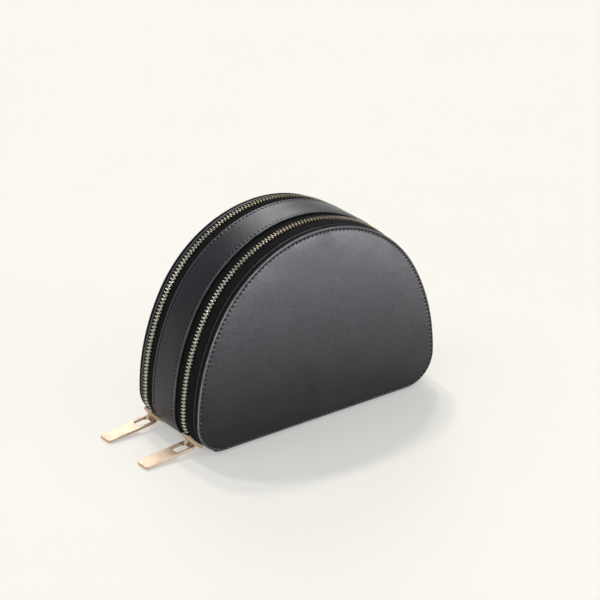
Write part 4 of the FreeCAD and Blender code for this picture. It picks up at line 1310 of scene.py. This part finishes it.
pocket = make_piece("front_lid_pocket_cloth", [pocket_shell()], lining_cloth, "front_lid",
                    stands_for=["front_lid_pocket"])

# %% Necklace rail
RAIL_FRONT, RAIL_REAR, RAIL_LOW, RAIL_HIGH = 3.8, 5.4, 86.0, 93.0
RAIL_PLACES, RAIL_MARGINS = [-42, -41.85, -41.4, 0, 41.4, 41.85, 42], [0.45, 0.2, 0, 0, 0, 0.2, 0.45]
HOOK_WIDE, HOOK_THICK, HOOK_LEVEL, HOOK_REACH, HOOK_TIP = 4, 1.5, 86.75, 12.15, 90.5


def bar_shell():
    """A rounded rectangle of (y, z) at places along x, smaller at both ends."""
    flat = drawn_in(rounded(box(RAIL_FRONT, RAIL_REAR, RAIL_LOW, RAIL_HIGH), 0.5), RAIL_MARGINS)
    x = np.broadcast_to(np.array(RAIL_PLACES)[:, None], flat.shape[:2])
    return tube(np.stack([x, flat[..., 0], flat[..., 1]], -1))


def hook_shell(x):
    """A strap along a path of (y, z): out from the bar, round a bend, up to the lip."""
    corners = [(5.0, HOOK_LEVEL), (HOOK_REACH, HOOK_LEVEL), (HOOK_REACH, HOOK_TIP)]
    path = rounded(corners, [0, 2.2, 0], steps=10, closed=False)
    wide, thick = HOOK_WIDE / 2, HOOK_THICK / 2
    section = rounded(box(-wide, wide, -thick, thick), 0.55, steps=3)
    place = along_path(path, section)
    across = np.broadcast_to(x + section[:, 0], place.shape[:2])
    return tube(np.stack([across, place[..., 0], place[..., 1]], -1))


rail = [bar_shell()] + [hook_shell(x) for x in (-36, -12, 12, 36)]
make_piece("necklace_rail_metal", rail, gold_plate, "case", stands_for=["necklace_rail"])


# %% Chain pouch
POUCH_HALF, POUCH_BACK, POUCH_FRONT = 56, 3.8, 10.3
POUCH_FOOT, POUCH_TALL = 12.2, 42
BOW, FOLD, FOLD_PITCH, GATHER = 0.8, 0.4, 4.3, 0.5


def pouch_shell():
    """Closed loops of (x, y) stacked in z, up the outside and down the inside. The front bows out by
    bow x sin(pi t), and folds of fold x sin(2 pi x / pitch) fade as exp of the distance below the
    mouth, which the elastic gathers in by t^6."""
    corners = box(-POUCH_HALF, POUCH_HALF, POUCH_BACK, POUCH_FRONT)
    loop = even_loop(corners, [0.8, 0.8, 2.5, 2.5], count=280)
    t = np.concatenate([[0, 0.004], np.linspace(0.02, 0.97, 20), [0.985, 0.995]])
    inside = t[:2:-1]
    z = POUCH_FOOT + POUCH_TALL * np.concatenate([t, [1.0], inside])
    outside_in = [0.5, 0.15] + [0] * (len(t) - 3) + [0.12]
    set_in = np.concatenate([outside_in, [0.5], np.full(len(inside), 0.95)])
    flat = loop + inner_side(loop) * set_in[:, None, None]
    front = np.clip((flat[..., 1] - 5.5) / 4, 0, 1)
    share = (z[:, None] - POUCH_FOOT) / POUCH_TALL
    turn = 2 * np.pi * flat[..., 0] / FOLD_PITCH + 0.6 * np.sin(flat[..., 0] / 9)
    fold = FOLD * np.sin(turn) * np.exp(-(1 - share) * 6)
    y = flat[..., 1] + front * (BOW * np.sin(np.pi * share) + fold - GATHER * share**6)
    return tube(np.stack([flat[..., 0], y, np.broadcast_to(z[:, None], y.shape)], -1))


pouch = make_piece("chain_pouch_cloth", [pouch_shell()], lining_cloth, "case",
                   stands_for=["chain_pouch"])

# %% [markdown]
# ## Floor, light and camera
# The photograph has a plain cream ground and two lamps high up behind the case: the shadow is short,
# falls towards the viewer, has a fairly crisp edge, and its right end is only half as dark, where one of
# the two lamps still reaches. A wide window behind them puts the gloss on top of the band, and a weak
# one on the left lights the pulls and the left edges. A low strip light out of view on the right, with a
# grid that keeps its beam off the floor, puts the gloss on the front lid, which fades downwards. A cool,
# even world fills in the rest, and the strengths add up to about one on the floor.
#
# The ground is a painted paper that stays pale even in the shadow, and there it looks less yellow. A
# Light Path node gives the camera, and mirrors such as the metal, a mix of the lit floor and a plain pale
# grey, so the shadow is kept but softened, and no extra light falls on the case.

# %% Floor
CREAM, PALE = (0.954, 0.909, 0.783), (0.93, 0.93, 0.93)
SHADOW_LIFT = 0.42

ground, tree, shader, coords = new_finish("cream_ground", Roughness=0.9, Specular__IOR__Level=0.1)
speck = use_group(tree, mottle, Vector=coords["Object"], Scale=14.0)
tint(tree, shader, speck["Value"], tuple(0.995 * tone for tone in CREAM), CREAM)
plain = add_node(tree, "ShaderNodeEmission", Color=(*PALE, 1), Strength=1.0)
ray = add_node(tree, "ShaderNodeLightPath").outputs
shiny = math_node(tree, "ADD", ray["Is Glossy Ray"], ray["Is Transmission Ray"])
seen = math_node(tree, "MINIMUM", math_node(tree, "ADD", ray["Is Camera Ray"], shiny), 1.0)
lift = math_node(tree, "MULTIPLY", seen, SHADOW_LIFT)
softened = add_node(
    tree, "ShaderNodeMixShader", _0=lift, _1=shader.outputs[0], _2=plain.outputs[0]
)
result = next(node for node in tree.nodes if node.type == "OUTPUT_MATERIAL")
tree.links.new(softened.outputs[0], result.inputs["Surface"])
floor_mesh = bpy.data.meshes.new("floor")
floor_mesh.from_pydata([(-4, -4, 0), (4, -4, 0), (4, 4, 0), (-4, 4, 0)], [], [(0, 1, 2, 3)])
floor_mesh.materials.append(ground)
floor = put_in_scene("floor", floor_mesh)

# %% Light
LAMP_COLOUR, STRIP_COLOUR = (1.0, 0.98, 0.95), (0.97, 0.98, 1.0)
# For each lamp: name, strength, how wide it looks in degrees, which way it shines
LAMPS = [
    ("left_back_lamp", 0.66, 5, (0.0, -0.45, -0.89)),
    ("right_back_lamp", 0.66, 5, (-0.22, -0.44, -0.87)),
    ("back_window", 0.75, 26, (-0.42, -0.73, -0.54)),
    ("left_window", 0.30, 40, (0.71, -0.13, -0.67)),
]
STRIP_PLACE, STRIP_AIM = (0.175, -0.27, 0.035), (0.022, -0.029, 0.062)


def face_along(thing, direction):
    """Turn a light or a camera so that it looks along a direction, with its own y axis upwards."""
    thing.rotation_euler = Vector(direction).to_track_quat("-Z", "Y").to_euler()


world = bpy.data.worlds.new("studio")
bpy.context.scene.world = world
world.use_nodes = True
surround = world.node_tree.nodes["Background"]
surround.inputs["Color"].default_value = (0.90, 0.945, 1.0, 1)
surround.inputs["Strength"].default_value = 0.52

# Lamps so far off that their rays are parallel
for name, energy, spread, shines in LAMPS:
    data = bpy.data.lights.new(name, "SUN")
    data.energy, data.angle, data.color = energy, np.radians(spread), LAMP_COLOUR
    face_along(put_in_scene(name, data), shines)
    print(f"{name}: {energy * abs(Vector(shines).normalized().z) / np.pi:.2f} of the floor's light")

data = bpy.data.lights.new("front_strip", "AREA")
data.shape, data.size, data.size_y = "RECTANGLE", 0.34, 0.09
data.energy, data.spread, data.color = 0.145, np.radians(38), STRIP_COLOUR
strip = put_in_scene("front_strip", data)
strip.location = STRIP_PLACE
face_along(strip, Vector(STRIP_AIM) - strip.location)

# %% Camera
CAMERA_AIM = Vector((0.01947, 0.01545, 0.05237))
CAMERA_SIDE, CAMERA_FAR = Vector((-0.5347, -0.7293, 0.4269)), 1.48097

data = bpy.data.cameras.new("camera")
data.sensor_width, data.lens = 36, 156
camera = put_in_scene("camera", data)
camera.location = CAMERA_AIM + CAMERA_FAR * CAMERA_SIDE
face_along(camera, CAMERA_AIM - camera.location)
bpy.context.scene.camera = camera
bpy.context.scene.view_settings.view_transform = "Standard"
print("camera", [round(value, 4) for value in camera.location])
